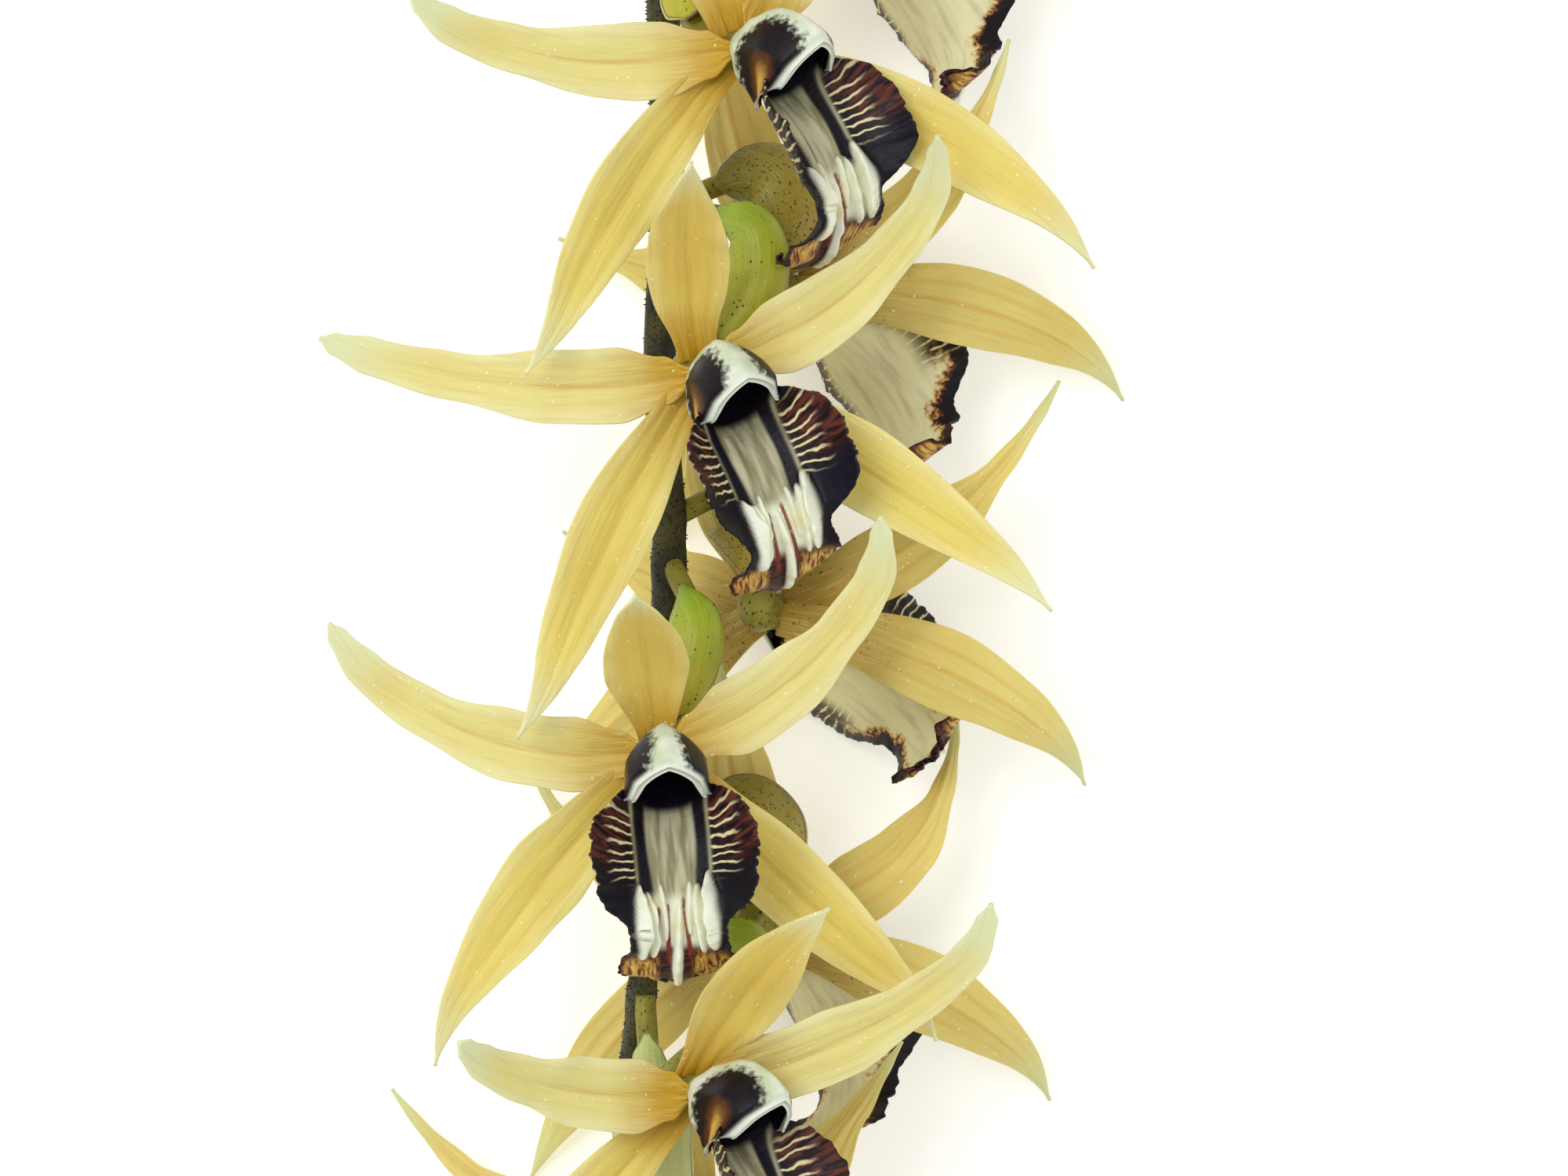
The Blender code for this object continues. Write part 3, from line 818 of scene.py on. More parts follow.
@dataclass(frozen=True)
class Pose:
    """How one tepal grows.

    Attributes:
        tip: Place of the tip seen from the flower's centre.
        bow: Sideways bow of the middle.
        lift: Rise of the middle off the straight line.
        hook: Sideways hook of the last fifth.
        twist: Turn of the blade at its tip, in degrees.
    """

    tip: Triple
    bow: float
    lift: float
    hook: float
    twist: float


@dataclass
class Axes:
    """A flower's centre and its right, up and forward directions."""

    centre: Array
    right: Array
    up: Array
    forward: Array

    @classmethod
    def of(cls, centre: Triple, facing: Triple, up_bearing: float) -> Axes:
        """Axes of a flower from where it faces and the bearing of its dorsal sepal.

        Args:
            centre: The flower's centre.
            facing: Direction that it faces.
            up_bearing: Bearing of its dorsal sepal about Z, in degrees.

        Returns:
            The axes, at right angles to each other.
        """
        forward = unit(np.array(facing))
        bearing = math.radians(up_bearing)
        rough = np.array((math.cos(bearing), math.sin(bearing), 0.0))
        up = unit(rough - forward * rough.dot(forward))
        return cls(np.array(centre), np.cross(up, forward), up, forward)

    def at(self, sideways: Array, height: Array, ahead: Array) -> Array:
        """Points at distances to the right, up and forward of the centre."""
        return (
            self.centre
            + self.right * np.asarray(sideways)[..., None]
            + self.up * np.asarray(height)[..., None]
            + self.forward * np.asarray(ahead)[..., None]
        )


# Half width of a petal along its length, as a share of the widest.
FRONT_PETAL_WIDTHS: Stops = (
    (0.0, 0.24), (0.07, 0.64), (0.2, 1.0), (0.38, 0.96),
    (0.64, 0.64), (0.86, 0.5), (0.96, 0.30), (1.0, 0.06),
)
REAR_PETAL_WIDTHS: Stops = ((0.0, 0.5), (0.27, 1.0), (0.48, 0.88), (0.72, 0.34), (0.88, 0.16), (1.0, 0.05))


@dataclass
class Tepal:
    """One sepal or petal: a lance-shaped blade with a groove on its inner side and a keel outside.

    The blade is a line from base to tip, bowed and lifted by 4v(1 - v), that carries a cross
    line of half width w(v), turned by the twist and cupped by the square of the place across.
    """

    leaf: Leaf
    pose: Pose
    axes: Axes
    rank: Rank
    seed: int
    width: float = 9.4
    base_ratio: float = 0.46
    widest_at: float = 0.42
    tip_half_width: float = 0.22
    half_thickness: float = 0.3
    cells: tuple[int, int] = (28, 110)
    base_radius: float = 1.7

    def half_width(self, v: Array) -> Array:
        """Half width at share v: eased stops for a petal, a lance shape for a sepal.

        Args:
            v: Shares of the length.

        Returns:
            Half widths in millimetres.
        """
        if self.leaf.is_petal:
            share = ease(v, FRONT_PETAL_WIDTHS if self.rank is Rank.FRONT else REAR_PETAL_WIDTHS)
        else:
            rise = self.base_ratio + (1.0 - self.base_ratio) * smooth(v, 0.0, self.widest_at)
            x = np.clip((v - self.widest_at) / (1.0 - self.widest_at), 0.0, 1.0)
            share = np.where(v < self.widest_at, rise, (1.0 - x**1.7) ** 1.1)
        waver = 1.0 + 0.035 * wavy(v, self.seed + 5, 3, 1.5)
        return np.maximum(0.5 * self.width * share * waver, self.tip_half_width)

    def surface(self) -> Surface:
        """Build the blade.

        Returns:
            The closed blade with its values "sheet", "across", "along" and "side".
        """
        forward, pose = self.axes.forward, self.pose
        tip = np.array(pose.tip)
        flat = unit(tip - forward * tip.dot(forward))
        set_back = 0.5 if self.leaf.is_petal else -1.1
        base = self.axes.centre + self.base_radius * flat + set_back * forward
        chord = self.axes.centre + tip - base
        sign = 1.0 if self.rank is Rank.FRONT else -1.0
        facing = unit(forward + 1.2 * np.array((0.0, 0.0, sign)))
        sideways = unit(np.cross(chord, facing))
        lift_way = sign * np.cross(sideways, unit(chord))

        def line(v: Array) -> Array:
            """The blade's middle line."""
            v = np.asarray(v, float)[..., None]
            curl = np.maximum(v - 0.8, 0.0) / 0.2
            bent = (pose.bow * sideways + pose.lift * lift_way) * 4.0 * v * (1.0 - v)
            return base + chord * v + bent + pose.hook * curl**2 * sideways

        u, v = np.meshgrid(
            np.sin(np.linspace(-0.5, 0.5, self.cells[0]) * np.pi * 0.94) / math.sin(0.47 * np.pi),
            np.linspace(0.0, 1.0, self.cells[1]),
            indexing="ij",
        )
        way = direction(line, v)
        across = unit(np.cross(way, facing))
        normal = np.cross(across, way)
        turn = np.radians(pose.twist) * v + 0.05 * wavy(v, self.seed + 9, 2, 0.7)
        turned = across * np.cos(turn)[..., None] + normal * np.sin(turn)[..., None]
        half = self.half_width(v)
        cup = 0.22 * half * u**2 * (1.0 - 0.6 * v)
        cup -= 0.30 * np.exp(-((u / 0.16) ** 2)) * smooth(v, 1.0, 0.55)
        cup += 0.32 * np.abs(u) ** 3 * wavy(v, self.seed + 1 + (self.seed % 3), 4, 1.6) * np.sin(np.pi * v)
        cup += 0.22 * u * wavy(v, self.seed + 2, 3, 1.0) * np.sin(np.pi * v)
        cup += 0.05 * np.cos(u * 16.0 + wavy(v, self.seed + 3, 2)) * smooth(v, 1.0, 0.6)
        middle = line(v) + turned * (half * u)[..., None] + normal * cup[..., None]
        body = self.half_thickness * (0.35 + 0.65 * np.sqrt(np.clip(1.0 - u**2, 0.0, 1.0)))
        keel = 0.28 * np.exp(-((u / 0.13) ** 2)) * smooth(v, 1.0, 0.6) * smooth(v, 0.0, 0.12)
        shift = float(self.seed % 97) * 13.0
        sheet = np.stack([half * u + shift, v * np.linalg.norm(chord), np.zeros_like(u)], -1)
        return thick_sheet(middle, body, body + keel, {"sheet": sheet, "across": u, "along": v})


@dataclass
class Lip:
    """The lip: a trough whose side lobes stand up, and a recurved, frilled middle lobe.

    The middle line is a curve in the flower's own plane. The cross line at share v has the half
    width w(v), and its ends rise by the lift l(v) times |u|^2.2. Teeth and waves ruffle the
    margin, and rounded keels stand on the inner face.
    """

    axes: Axes
    seed: int
    line_points: Stops = (
        (-0.6, 1.0),
        (-4.6, 5.2),
        (-8.2, 9.6),
        (-12.8, 12.4),
        (-17.8, 13.2),
        (-22.0, 11.4),
        (-24.2, 8.0),
    )
    widths: Stops = (
        (0.0, 2.2), (0.13, 4.9), (0.36, 10.3), (0.47, 9.8),
        (0.61, 5.9), (0.8, 7.4), (0.92, 6.0), (1.0, 3.0),
    )
    lifts: Stops = ((0, 1.0), (0.13, 4.6), (0.36, 7.0), (0.5, 6.2), (0.62, 2.6), (0.8, -0.4), (1, -1.6))
    # Keels on the inner face: place across, start and end along, half width and height.
    keels: tuple[tuple[float, ...], ...] = (
        (-4.35, 0.450, 0.700, 0.66, 1.9),
        (-3.10, 0.475, 0.720, 0.56, 1.6),
        (-1.75, 0.450, 0.660, 0.44, 0.9),
        (0.15, 0.520, 0.985, 0.58, 1.1),
        (1.80, 0.450, 0.640, 0.44, 0.9),
        (2.95, 0.455, 0.710, 0.60, 1.6),
        (4.25, 0.420, 0.690, 0.74, 2.2),
    )
    # Red stripes between the keels: place across, start and end along, half width.
    stripes: tuple[tuple[float, ...], ...] = (
        (-2.45, 0.52, 0.72, 0.26),
        (-0.85, 0.51, 0.79, 0.30),
        (1.05, 0.49, 0.77, 0.26),
        (3.80, 0.50, 0.60, 0.18),
        (-3.95, 0.55, 0.62, 0.16),
    )
    # Length as the pattern takes it, and as the distance to the tip takes it.
    run: float = 28.0
    tip_run: float = 26.0
    cells: tuple[int, int] = (111, 181)

    def keel_share(self, x: Array, v: Array, keel: tuple[float, ...]) -> Array:
        """Share from 0 to 1 of one keel's height: a flat-topped bump across, rounded at its ends."""
        place, start, end, half, _ = keel
        bend = 0.3 * np.sin(9.0 * v + place + self.seed)
        middle, reach = 0.5 * (start + end), 0.5 * (end - start)
        body = np.sqrt(np.clip(1.0 - ((v - middle) / reach) ** 2, 0.0, 1.0))
        across = np.exp(-(np.abs((x - place - bend) / (half * (0.35 + 0.65 * body))) ** 2.6))
        return across * body * (1.0 + 0.18 * wavy(v, self.seed + int(10 * abs(place)), 3, 6.0))

    def surface(self) -> Surface:
        """Build the lip.

        Returns:
            The closed lip with its values "sheet", "rim", "lobe", "zones_pale", "zones_warm" and "side".
        """
        u, v = np.meshgrid(
            np.linspace(1.0, -1.0, self.cells[0]), np.linspace(0.0, 1.0, self.cells[1]), indexing="ij"
        )
        size = np.abs(u)

        def line(t: Array) -> Array:
            """The lip's middle line as (height, ahead)."""
            return along(self.line_points, t)

        half = ease(v, self.widths)
        hand = np.where(u > 0, 0, 40)
        edge = smooth(size, 0.72, 1.0) * smooth(v, 0.10, 0.22)
        teeth = 0.5 * wavy(v, self.seed + 11, 5, 7.0)
        teeth += 0.5 * np.abs(wavy(v + 0.003 * hand, self.seed + 12, 4, 13.0))
        half = half * (1.0 + 0.075 * teeth * edge)
        slope = direction(line, v)
        lift = ease(v, self.lifts) * size**2.2
        lift += 0.5 * np.sin(26.0 * v + 2.0 * u) * size**3 * np.minimum(v * 4.0, 1.0)
        lift += 0.42 * wavy(v + 0.01 * hand, self.seed + 13, 4, 5.0) * size**4 * smooth(v, 0.15, 0.3)
        lift += 0.35 * wavy(0.5 * u + 0.5, self.seed + 14, 3, 3.0) * smooth(v, 0.82, 1.0)
        spot = line(v)
        end = smooth(v, 0.88, 1.0) * (0.9 * wavy(0.5 * u + 0.5, self.seed + 15, 4, 3.5) + 0.3)
        height = spot[..., 0] + slope[..., 1] * lift + slope[..., 0] * end
        ahead = spot[..., 1] - slope[..., 0] * lift + slope[..., 1] * end
        x = half * u * (1.0 - 0.1 * u**2)
        middle = self.axes.at(x, height, ahead)

        raised, white = np.zeros_like(u), np.zeros_like(u)
        for keel in self.keels:
            share = self.keel_share(x, v, keel)
            raised = np.maximum(raised, share * keel[4])
            white = np.maximum(white, smooth(share, 0.18, 0.5))
        red = np.zeros_like(u)
        for place, start, stop, wide in self.stripes:
            across = np.exp(-(((x - place - 0.3 * np.sin(9.0 * v + place)) / wide) ** 2))
            red = np.maximum(red, across * smooth(v, start, start + 0.03) * smooth(v, stop, stop - 0.05))
        wide = ease(v, ((0.1, 2.9), (0.3, 2.8), (0.5, 2.4), (0.62, 2.8)))
        floor = smooth(wide - np.abs(x), -0.27, 0.18)
        floor = floor * smooth(v, 0.17, 0.21) * smooth(v, 0.70, 0.60)
        ledge = smooth(v, 0.47, 0.53) * (1.0 - smooth(v, 0.66, 0.71)) * smooth(4.3 - np.abs(x), 0.0, 0.5)
        white = np.maximum(white, 0.85 * ledge * (1.0 - smooth(red, 0.25, 0.5)))
        ridges = np.exp(-(((np.abs(x) - 1.9) / 0.55) ** 2)) * smooth(v, 0.16, 0.25) * smooth(v, 0.62, 0.5)
        pit = np.exp(-(((np.abs(x) - wide - 0.8) / 0.6) ** 2)) * smooth(v, 0.2, 0.28) * smooth(v, 0.5, 0.44)
        raised = raised + 0.35 * ridges - 0.35 * pit
        inner_edge = smooth(np.abs(x), 4.3, 4.7) * (1.0 - smooth(np.abs(x), 6.6, 8.0))
        streaks = inner_edge * smooth(v, 0.20, 0.26) * smooth(v, 0.46, 0.42)
        lobe = smooth(size, 0.45, 0.7) * smooth(v, 0.12, 0.2) * smooth(v, 0.5, 0.42)
        vein = np.exp(-(((np.abs(x) - 4.35 + 0.5 * (v - 0.3)) / 0.2) ** 2))
        vein = vein * smooth(v, 0.16, 0.2) * smooth(v, 0.47, 0.43)
        floor = np.maximum(floor, vein)
        brown = smooth(size, 0.42, 0.72) * smooth(v, 0.17, 0.26) * smooth(v, 0.46, 0.36)
        rim_mm = (1.0 - size) * half
        brown = np.maximum(brown, smooth(v, 0.64, 0.72) * 0.9)
        gold = smooth(v, 0.68, 0.76) * smooth(v, 0.985, 0.93) * smooth(np.abs(x + 0.3), 1.6, 2.6)
        gold *= smooth(rim_mm, 0.35, 1.0)
        rim = np.minimum(rim_mm, (1.0 - v) * self.tip_run)
        sheet = np.stack([x, v * self.run + 31.0 * (self.seed % 7), np.zeros_like(u)], -1)
        thin = 0.30 * (0.4 + 0.6 * smooth(size, 1.0, 0.6))
        return thick_sheet(
            middle,
            thin + np.maximum(raised, -0.1),
            thin,
            {
                "sheet": sheet,
                "rim": rim,
                "lobe": lobe,
                "zones_pale": np.stack([white, floor, streaks], -1),
                "zones_warm": np.stack([brown, gold, red], -1),
            },
        )


@dataclass
class Column:
    """The stalk and ovary grown into the column, whose far end is a hood open below.

    Each ring starts as a circle round the ovary's line and turns into an inverted U: the first
    half of the ring is the outer wall from left to right, and the second half the inner wall.
    """

    axes: Axes
    ovary: Array
    seed: int
    hood_line: Stops = ((0.0, 0.0), (0.5, 2.2), (1.3, 4.6), (1.9, 7.2), (1.5, 9.6), (0.2, 11.6))
    half_widths: Stops = ((0, 2.1), (0.3, 3.7), (0.65, 4.5), (0.88, 4.4), (1, 3.5))
    legs: Stops = ((0, 0.0), (0.2, 2.6), (0.5, 6.4), (0.8, 6.6), (1, 2.8))
    wall: float = 0.8
    # Lengths of the stalk and of the hood, as their pattern takes them.
    stalk_run: float = 26.0
    hood_run: float = 12.0
    ring_points: int = 72
    rows: tuple[int, int] = (70, 64)

    def stalk(self, t: Array) -> Array:
        """The ovary's middle line."""
        return along(self.ovary, t)

    def rings(self) -> tuple[Array, dict[str, Array]]:
        """Work out the rings and the values on them.

        Returns:
            The rings' points and their named values.
        """
        turn = np.arange(self.ring_points) / self.ring_points
        angle = 2.0 * np.pi * turn - 0.5 * np.pi
        grids = []
        # The stalk: circles round its line.
        at = np.linspace(0.0, 1.0, self.rows[0])[:, None] + 0.0 * turn
        way = direction(self.stalk, at)
        top = unit(self.axes.up - way * dot(self.axes.up, way))
        side = np.cross(top, way)
        radius = (stalk_radius(at) + 0.06 * np.cos(6.0 * angle) * smooth(at, 0.3, 0.6))[..., None]
        rings = self.stalk(at) + radius * (side * np.sin(angle)[:, None] + top * np.cos(angle)[:, None])
        length = at * self.stalk_run
        grids.append((rings, at * 0.0, at * 0.0 + 1.0, at * 0.0, length))
        # The column: the ring opens into the hood.
        at = np.linspace(0.02, 1.0, self.rows[1])[:, None] + 0.0 * turn
        spot = along(self.hood_line, at)
        middle = self.axes.at(0.0 * at, spot[..., 0], spot[..., 1])

        def hood(t: Array) -> Array:
            """The column's middle line."""
            point = along(self.hood_line, t)
            return self.axes.at(0.0 * t, point[..., 0], point[..., 1])

        way = direction(hood, at)
        top = unit(self.axes.up - way * dot(self.axes.up, way))
        side = np.cross(top, way)
        outer = turn <= 0.5
        place = np.where(outer, (turn - 0.25) / 0.25, np.clip(1.154 * (0.75 - turn) / 0.25, -0.98, 0.98))
        place = place + 0.0 * at
        half = ease(at, self.half_widths)
        frill = 1.0 + 0.05 * wavy(at, self.seed + 3, 5, 3.0) * smooth(at, 0.4, 0.6)
        leg = ease(at, self.legs) * frill
        form = smooth(at, 0.04, 0.26)
        down = np.clip((np.abs(place) - 0.66) / 0.34, 0.0, 1.0)
        wall = np.where(outer, 0.0, self.wall) * (1.0 - 0.6 * down)
        over = np.clip(np.abs(place) / 0.66, 0.0, 1.0)
        bend = over * 0.5 * np.pi
        span = half - wall
        x = np.sign(place) * span * (0.7 * over + 0.3 * np.sin(bend) + 0.22 * down)
        y = span * (0.55 * (1.0 - over) + 0.35 * np.cos(bend)) - leg * down
        x = (1.0 - form) * half * np.sin(angle) + form * x
        y = (1.0 - form) * half * np.cos(angle) + form * y
        rings = middle + side * x[..., None] + top * y[..., None]
        grids.append((rings, at, 1.0 * outer + 0.0 * at, place, self.stalk_run + at * self.hood_run))
        points, hood_at, outside, spread, run = (np.concatenate(part) for part in zip(*grids))
        flank = np.abs(spread)
        near = np.hypot((flank - 0.72) / 0.46, (hood_at - 0.66) / 0.36)
        gold = np.hypot((flank - 0.86) / 0.16, (hood_at - 0.66) / 0.16)
        rim = np.maximum(smooth(hood_at, 0.93, 0.97), smooth(flank, 0.985, 1.0) * smooth(hood_at, 0.45, 0.6))
        values = {
            "sheet": np.stack([stretch_angle(angle, run), run, 0.0 * run], -1),
            "hood": smooth(hood_at, 0.0, 0.12),
            "blotch": np.clip(1.0 - 0.5 * near, 0.0, 1.0) * outside * smooth(hood_at, 0.08, 0.25),
            "spot": np.clip(1.0 - 0.5 * gold, 0.0, 1.0) * outside * smooth(hood_at, 0.3, 0.45),
            # Inner wall of the hood, painted black: partly its own dark underside, partly painted shade of
            # the hollow.
            "dark_and_shaded_within": (1.0 - outside) * smooth(hood_at, 0.0, 0.05) * smooth(hood_at, 0.98, 0.95),
            "edge": rim * smooth(hood_at, 0.3, 0.5),
        }
        return points, values

    def surface(self) -> Surface:
        """The stalk, ovary and hooded column as one closed body."""
        return closed_tube(*self.rings())


def stretch_angle(angle: Array, run: Array) -> Array:
    """Distance round a stalk 4 mm thick at each angle, on the grid of run."""
    return 2.0 * angle + 0.0 * run


def stalk_radius(t: Array) -> Array:
    """Radius of the flower's stalk and ovary: 1.25 mm, easing out to 2.15 mm at the ovary."""
    return 1.25 + 0.9 * smooth(t, 0.1, 0.7)


@dataclass
class Bract:
    """The bract: a half sheath round the ovary.

    The cross line at share v is an arc about the ovary's line, whose reach to each side and
    distance from the ovary are eased between stops.
    """

    ovary: Array
    bulge: float
    clearance: float
    seed: int
    span: tuple[float, float] = (0.12, 0.65)
    reach: Stops = ((0.0, 16.0), (0.1, 62.0), (0.34, 98.0), (0.8, 68.0), (1.0, 18.0))
    # Length as the pattern takes it.
    run: float = 18.0
    cells: tuple[int, int] = (41, 64)

    def surface(self) -> Surface:
        """Build the sheath.

        Returns:
            The closed sheath with its values "sheet", "across", "along" and "side".
        """
        u, v = np.meshgrid(
            np.linspace(-1.0, 1.0, self.cells[0]), np.linspace(0.0, 1.0, self.cells[1]), indexing="ij"
        )

        def stalk(t: Array) -> Array:
            """The ovary's middle line."""
            return along(self.ovary, t)

        at = self.span[0] + (self.span[1] - self.span[0]) * v
        way = direction(stalk, at)
        sky = np.array((0.0, 0.0, 1.0))
        top = unit(sky - way * dot(sky, way))
        side = np.cross(way, top)
        angle = np.radians(ease(v, self.reach)) * u * (1.0 + 0.03 * wavy(v, self.seed, 3, 2.0))
        radius = stalk_radius(at) + self.clearance * (0.3 + 0.7 * smooth(v, 0.0, 0.2))
        radius = radius + self.bulge * ease(v, ((0.0, 0.0), (0.5, 1.0), (1.0, 0.6)))
        radius = radius + 0.18 * wavy(v, self.seed + 1, 3, 1.5) * u**2
        radius = radius + 0.035 * np.cos(22.0 * u) * np.sin(np.pi * v)
        out = side * np.sin(angle)[..., None] + top * np.cos(angle)[..., None]
        middle = stalk(at) + radius[..., None] * out
        thick = 0.28 * (0.5 + 0.5 * np.sqrt(np.clip(1.0 - u**2, 0.0, 1.0)))
        sheet = np.stack([radius * angle + 17.0 * (self.seed % 11), v * self.run, 0.0 * u], -1)
        return thick_sheet(middle, thick, thick, {"sheet": sheet, "across": u, "along": v})


@dataclass
class Flower:
    """One flower: five tepals, the lip, the column on its ovary, and the bract.

    Attributes:
        key: Short name, as in the names of its solids.
        rank: Side of the spike that it grows on.
        axes: Its centre and directions.
        ovary: Points of the stalk's line from the stem to the flower.
        poses: How each tepal grows.
        joined: True where one solid holds the whole flower.
        number: Its place in the table, which fixes its small variations.
    """

    key: str
    rank: Rank
    axes: Axes
    ovary: Array
    poses: dict[Leaf, Pose]
    joined: bool
    number: int

    def node(self, piece: str) -> str:
        """Name of the solid that a piece stands for."""
        return f"{self.key}_flower" if self.joined else f"{self.key}_{piece}"

    def build(self, finishes: Finishes) -> None:
        """Build and dress every piece of the flower.

        Args:
            finishes: The tissues' materials.
        """
        widths = {Leaf.DORSAL_SEPAL: 9.8, Leaf.LEFT_PETAL: 8.6, Leaf.RIGHT_PETAL: 8.6}
        for place, (leaf, pose) in enumerate(self.poses.items()):
            tepal = Tepal(
                leaf,
                pose,
                self.axes,
                self.rank,
                seed=self.number * 50 + place * 7,
                width=widths.get(leaf, 9.4),
            )
            tissue = finishes.tepal(self.rank, leaf)
            name = f"{self.key}_{leaf.value}_blade"
            put_piece(name, tepal.surface(), tissue, Slot.TEPAL, self.node(leaf.value))
        lip = Lip(self.axes, seed=self.number * 3 + 1)
        put_piece(f"{self.key}_lip_blade", lip.surface(), finishes.lip, Slot.LIP, self.node("lip"))
        column = Column(self.axes, self.ovary, seed=self.number * 5)
        name = f"{self.key}_hooded_column"
        put_piece(name, column.surface(), finishes.column, Slot.COLUMN, self.node("ovary_and_column"))
        self.build_bract(finishes)

    def build_bract(self, finishes: Finishes) -> None:
        """Build and dress the bract.

        Args:
            finishes: The tissues' materials.
        """
        if self.key == "r4":
            bulge, leaf = 2.2, finishes.faded_bract
        elif self.rank is Rank.FRONT:
            bulge, leaf = 0.8, finishes.front_bract
        else:
            bulge, leaf = 3.3, finishes.rear_bract
        bract = Bract(self.ovary, bulge, 0.5 if self.joined else 1.05, seed=self.number * 11 + 3)
        put_piece(f"{self.key}_bract_sheath", bract.surface(), leaf, Slot.BRACT, self.node("bract"))


@dataclass
class Stem:
    """The stem, bent down to its cut end, with a swelling at each flower and a warty skin."""

    nodes: list[float]
    points: tuple[Triple, ...] = (
        (-9.0, 158.0, 2.7),
        (-10.0, 147.0, 6.4),
        (-11.2, 133.0, 14.6),
        (-12.4, 118.0, 21.0),
        (-13.4, 102.0, 23.8),
        (-13.9, 84.0, 24.2),
        (-14.0, 66.0, 24.0),
        (-13.5, 46.0, 24.2),
        (-14.4, 26.0, 24.0),
        (-13.3, 6.0, 24.2),
        (-14.2, -14.0, 24.0),
        (-15.2, -32.0, 24.1),
        (-16.6, -48.0, 23.8),
        (-18.6, -61.0, 23.2),
    )
    radii: Stops = ((0.0, 2.2), (0.25, 2.0), (0.8, 1.85), (0.97, 1.5), (1.0, 1.1))
    # Length and radius as the pattern takes them.
    run: float = 228.0
    sheet_radius: float = 2.0
    warts: int = 2600

    def line(self, t: Array) -> Array:
        """The stem's middle line."""
        return along(self.points, t)

    def frame_at(self, t: Array) -> tuple[Array, Array, Array, Array]:
        """Middle, side and top directions and radius at shares t."""
        middle, way = self.line(t), direction(self.line, t)
        side = unit(np.cross(way, np.array((0.0, 0.0, 1.0))))
        top = np.cross(side, way)
        radius = ease(t, self.radii)
        for y in self.nodes:
            radius = radius + 0.25 * np.exp(-(((middle[..., 1] - y) / 2.2) ** 2))
        return middle, side, top, radius

    def sheet(self, angle: Array, t: Array) -> Array:
        """Places that the skin's pattern reads: a straight stick of the stem's length."""
        flat = self.sheet_radius
        return np.stack([flat * np.cos(angle), flat * np.sin(angle), t * self.run], -1)

    def skin(self) -> Surface:
        """The stem's body: circles along its line, drawn in over both ends.

        Returns:
            The closed body with its values "sheet" and "cut".
        """
        angle = 2.0 * np.pi * np.arange(40) / 40
        shares = np.concatenate([np.zeros(8), np.linspace(0.0, 1.0, 420), np.ones(5)])
        shrink = np.concatenate([np.linspace(0.04, 0.97, 8), np.ones(420), (0.97, 0.85, 0.65, 0.4, 0.1)])
        t, a = np.meshgrid(shares, angle, indexing="ij")
        middle, side, top, radius = self.frame_at(t)
        grown = radius * (1.0 + 0.02 * np.sin(5.0 * a + 9.0 * t)) * shrink[:, None]
        rings = middle + grown[..., None] * (side * np.cos(a)[..., None] + top * np.sin(a)[..., None])
        cut = np.where(np.arange(len(shares)) < 8, 1.0 - shrink, 0.0)[:, None] + 0.0 * a
        return closed_tube(rings, {"sheet": self.sheet(a, t), "cut": cut})

    def wart_skin(self) -> Surface:
        """Small pointed warts: one five-sided cone each, at places drawn from a fixed seed.

        Returns:
            The cones as one surface with the stem's values.
        """
        draw = np.random.default_rng(4)
        t = draw.uniform(0.012, 0.985, self.warts)
        a = draw.uniform(0.0, 2.0 * np.pi, self.warts)
        tall = draw.uniform(0.16, 0.34, self.warts)[:, None]
        middle, side, top, radius = self.frame_at(t)
        out = side * np.cos(a)[:, None] + top * np.sin(a)[:, None]
        foot = middle + out * (radius[:, None] - 0.12)
        way = direction(self.line, t)
        round_way = np.cross(out, way)
        turn = 2.0 * np.pi * np.arange(5) / 5
        ring = foot[:, None] + 0.17 * (
            way[:, None] * np.cos(turn)[None, :, None] + round_way[:, None] * np.sin(turn)[None, :, None]
        )
        peak = foot + out * (tall + 0.12)
        points = np.concatenate([ring, peak[:, None]], axis=1)
        start = 6 * np.arange(self.warts)[:, None]
        k = np.arange(5)
        sides = np.stack([start + k, start + (k + 1) % 5, start + 5 + 0 * k], -1).reshape(-1, 3)
        faces = sides.tolist() + (start + k[::-1]).tolist()
        sheet = np.repeat(self.sheet(a, t), 6, axis=0)
        return Surface(points.reshape(-1, 3), faces, {"sheet": sheet, "cut": 0.0 * sheet[:, 0]}).outward()

    def build(self, finishes: Finishes) -> None:
        """Build and dress the stem and its warts."""
        put_piece("stem_skin", self.skin(), finishes.stem, Slot.STEM, "stem")
        put_piece("stem_warts", self.wart_skin(), finishes.stem, Slot.STEM, "stem")


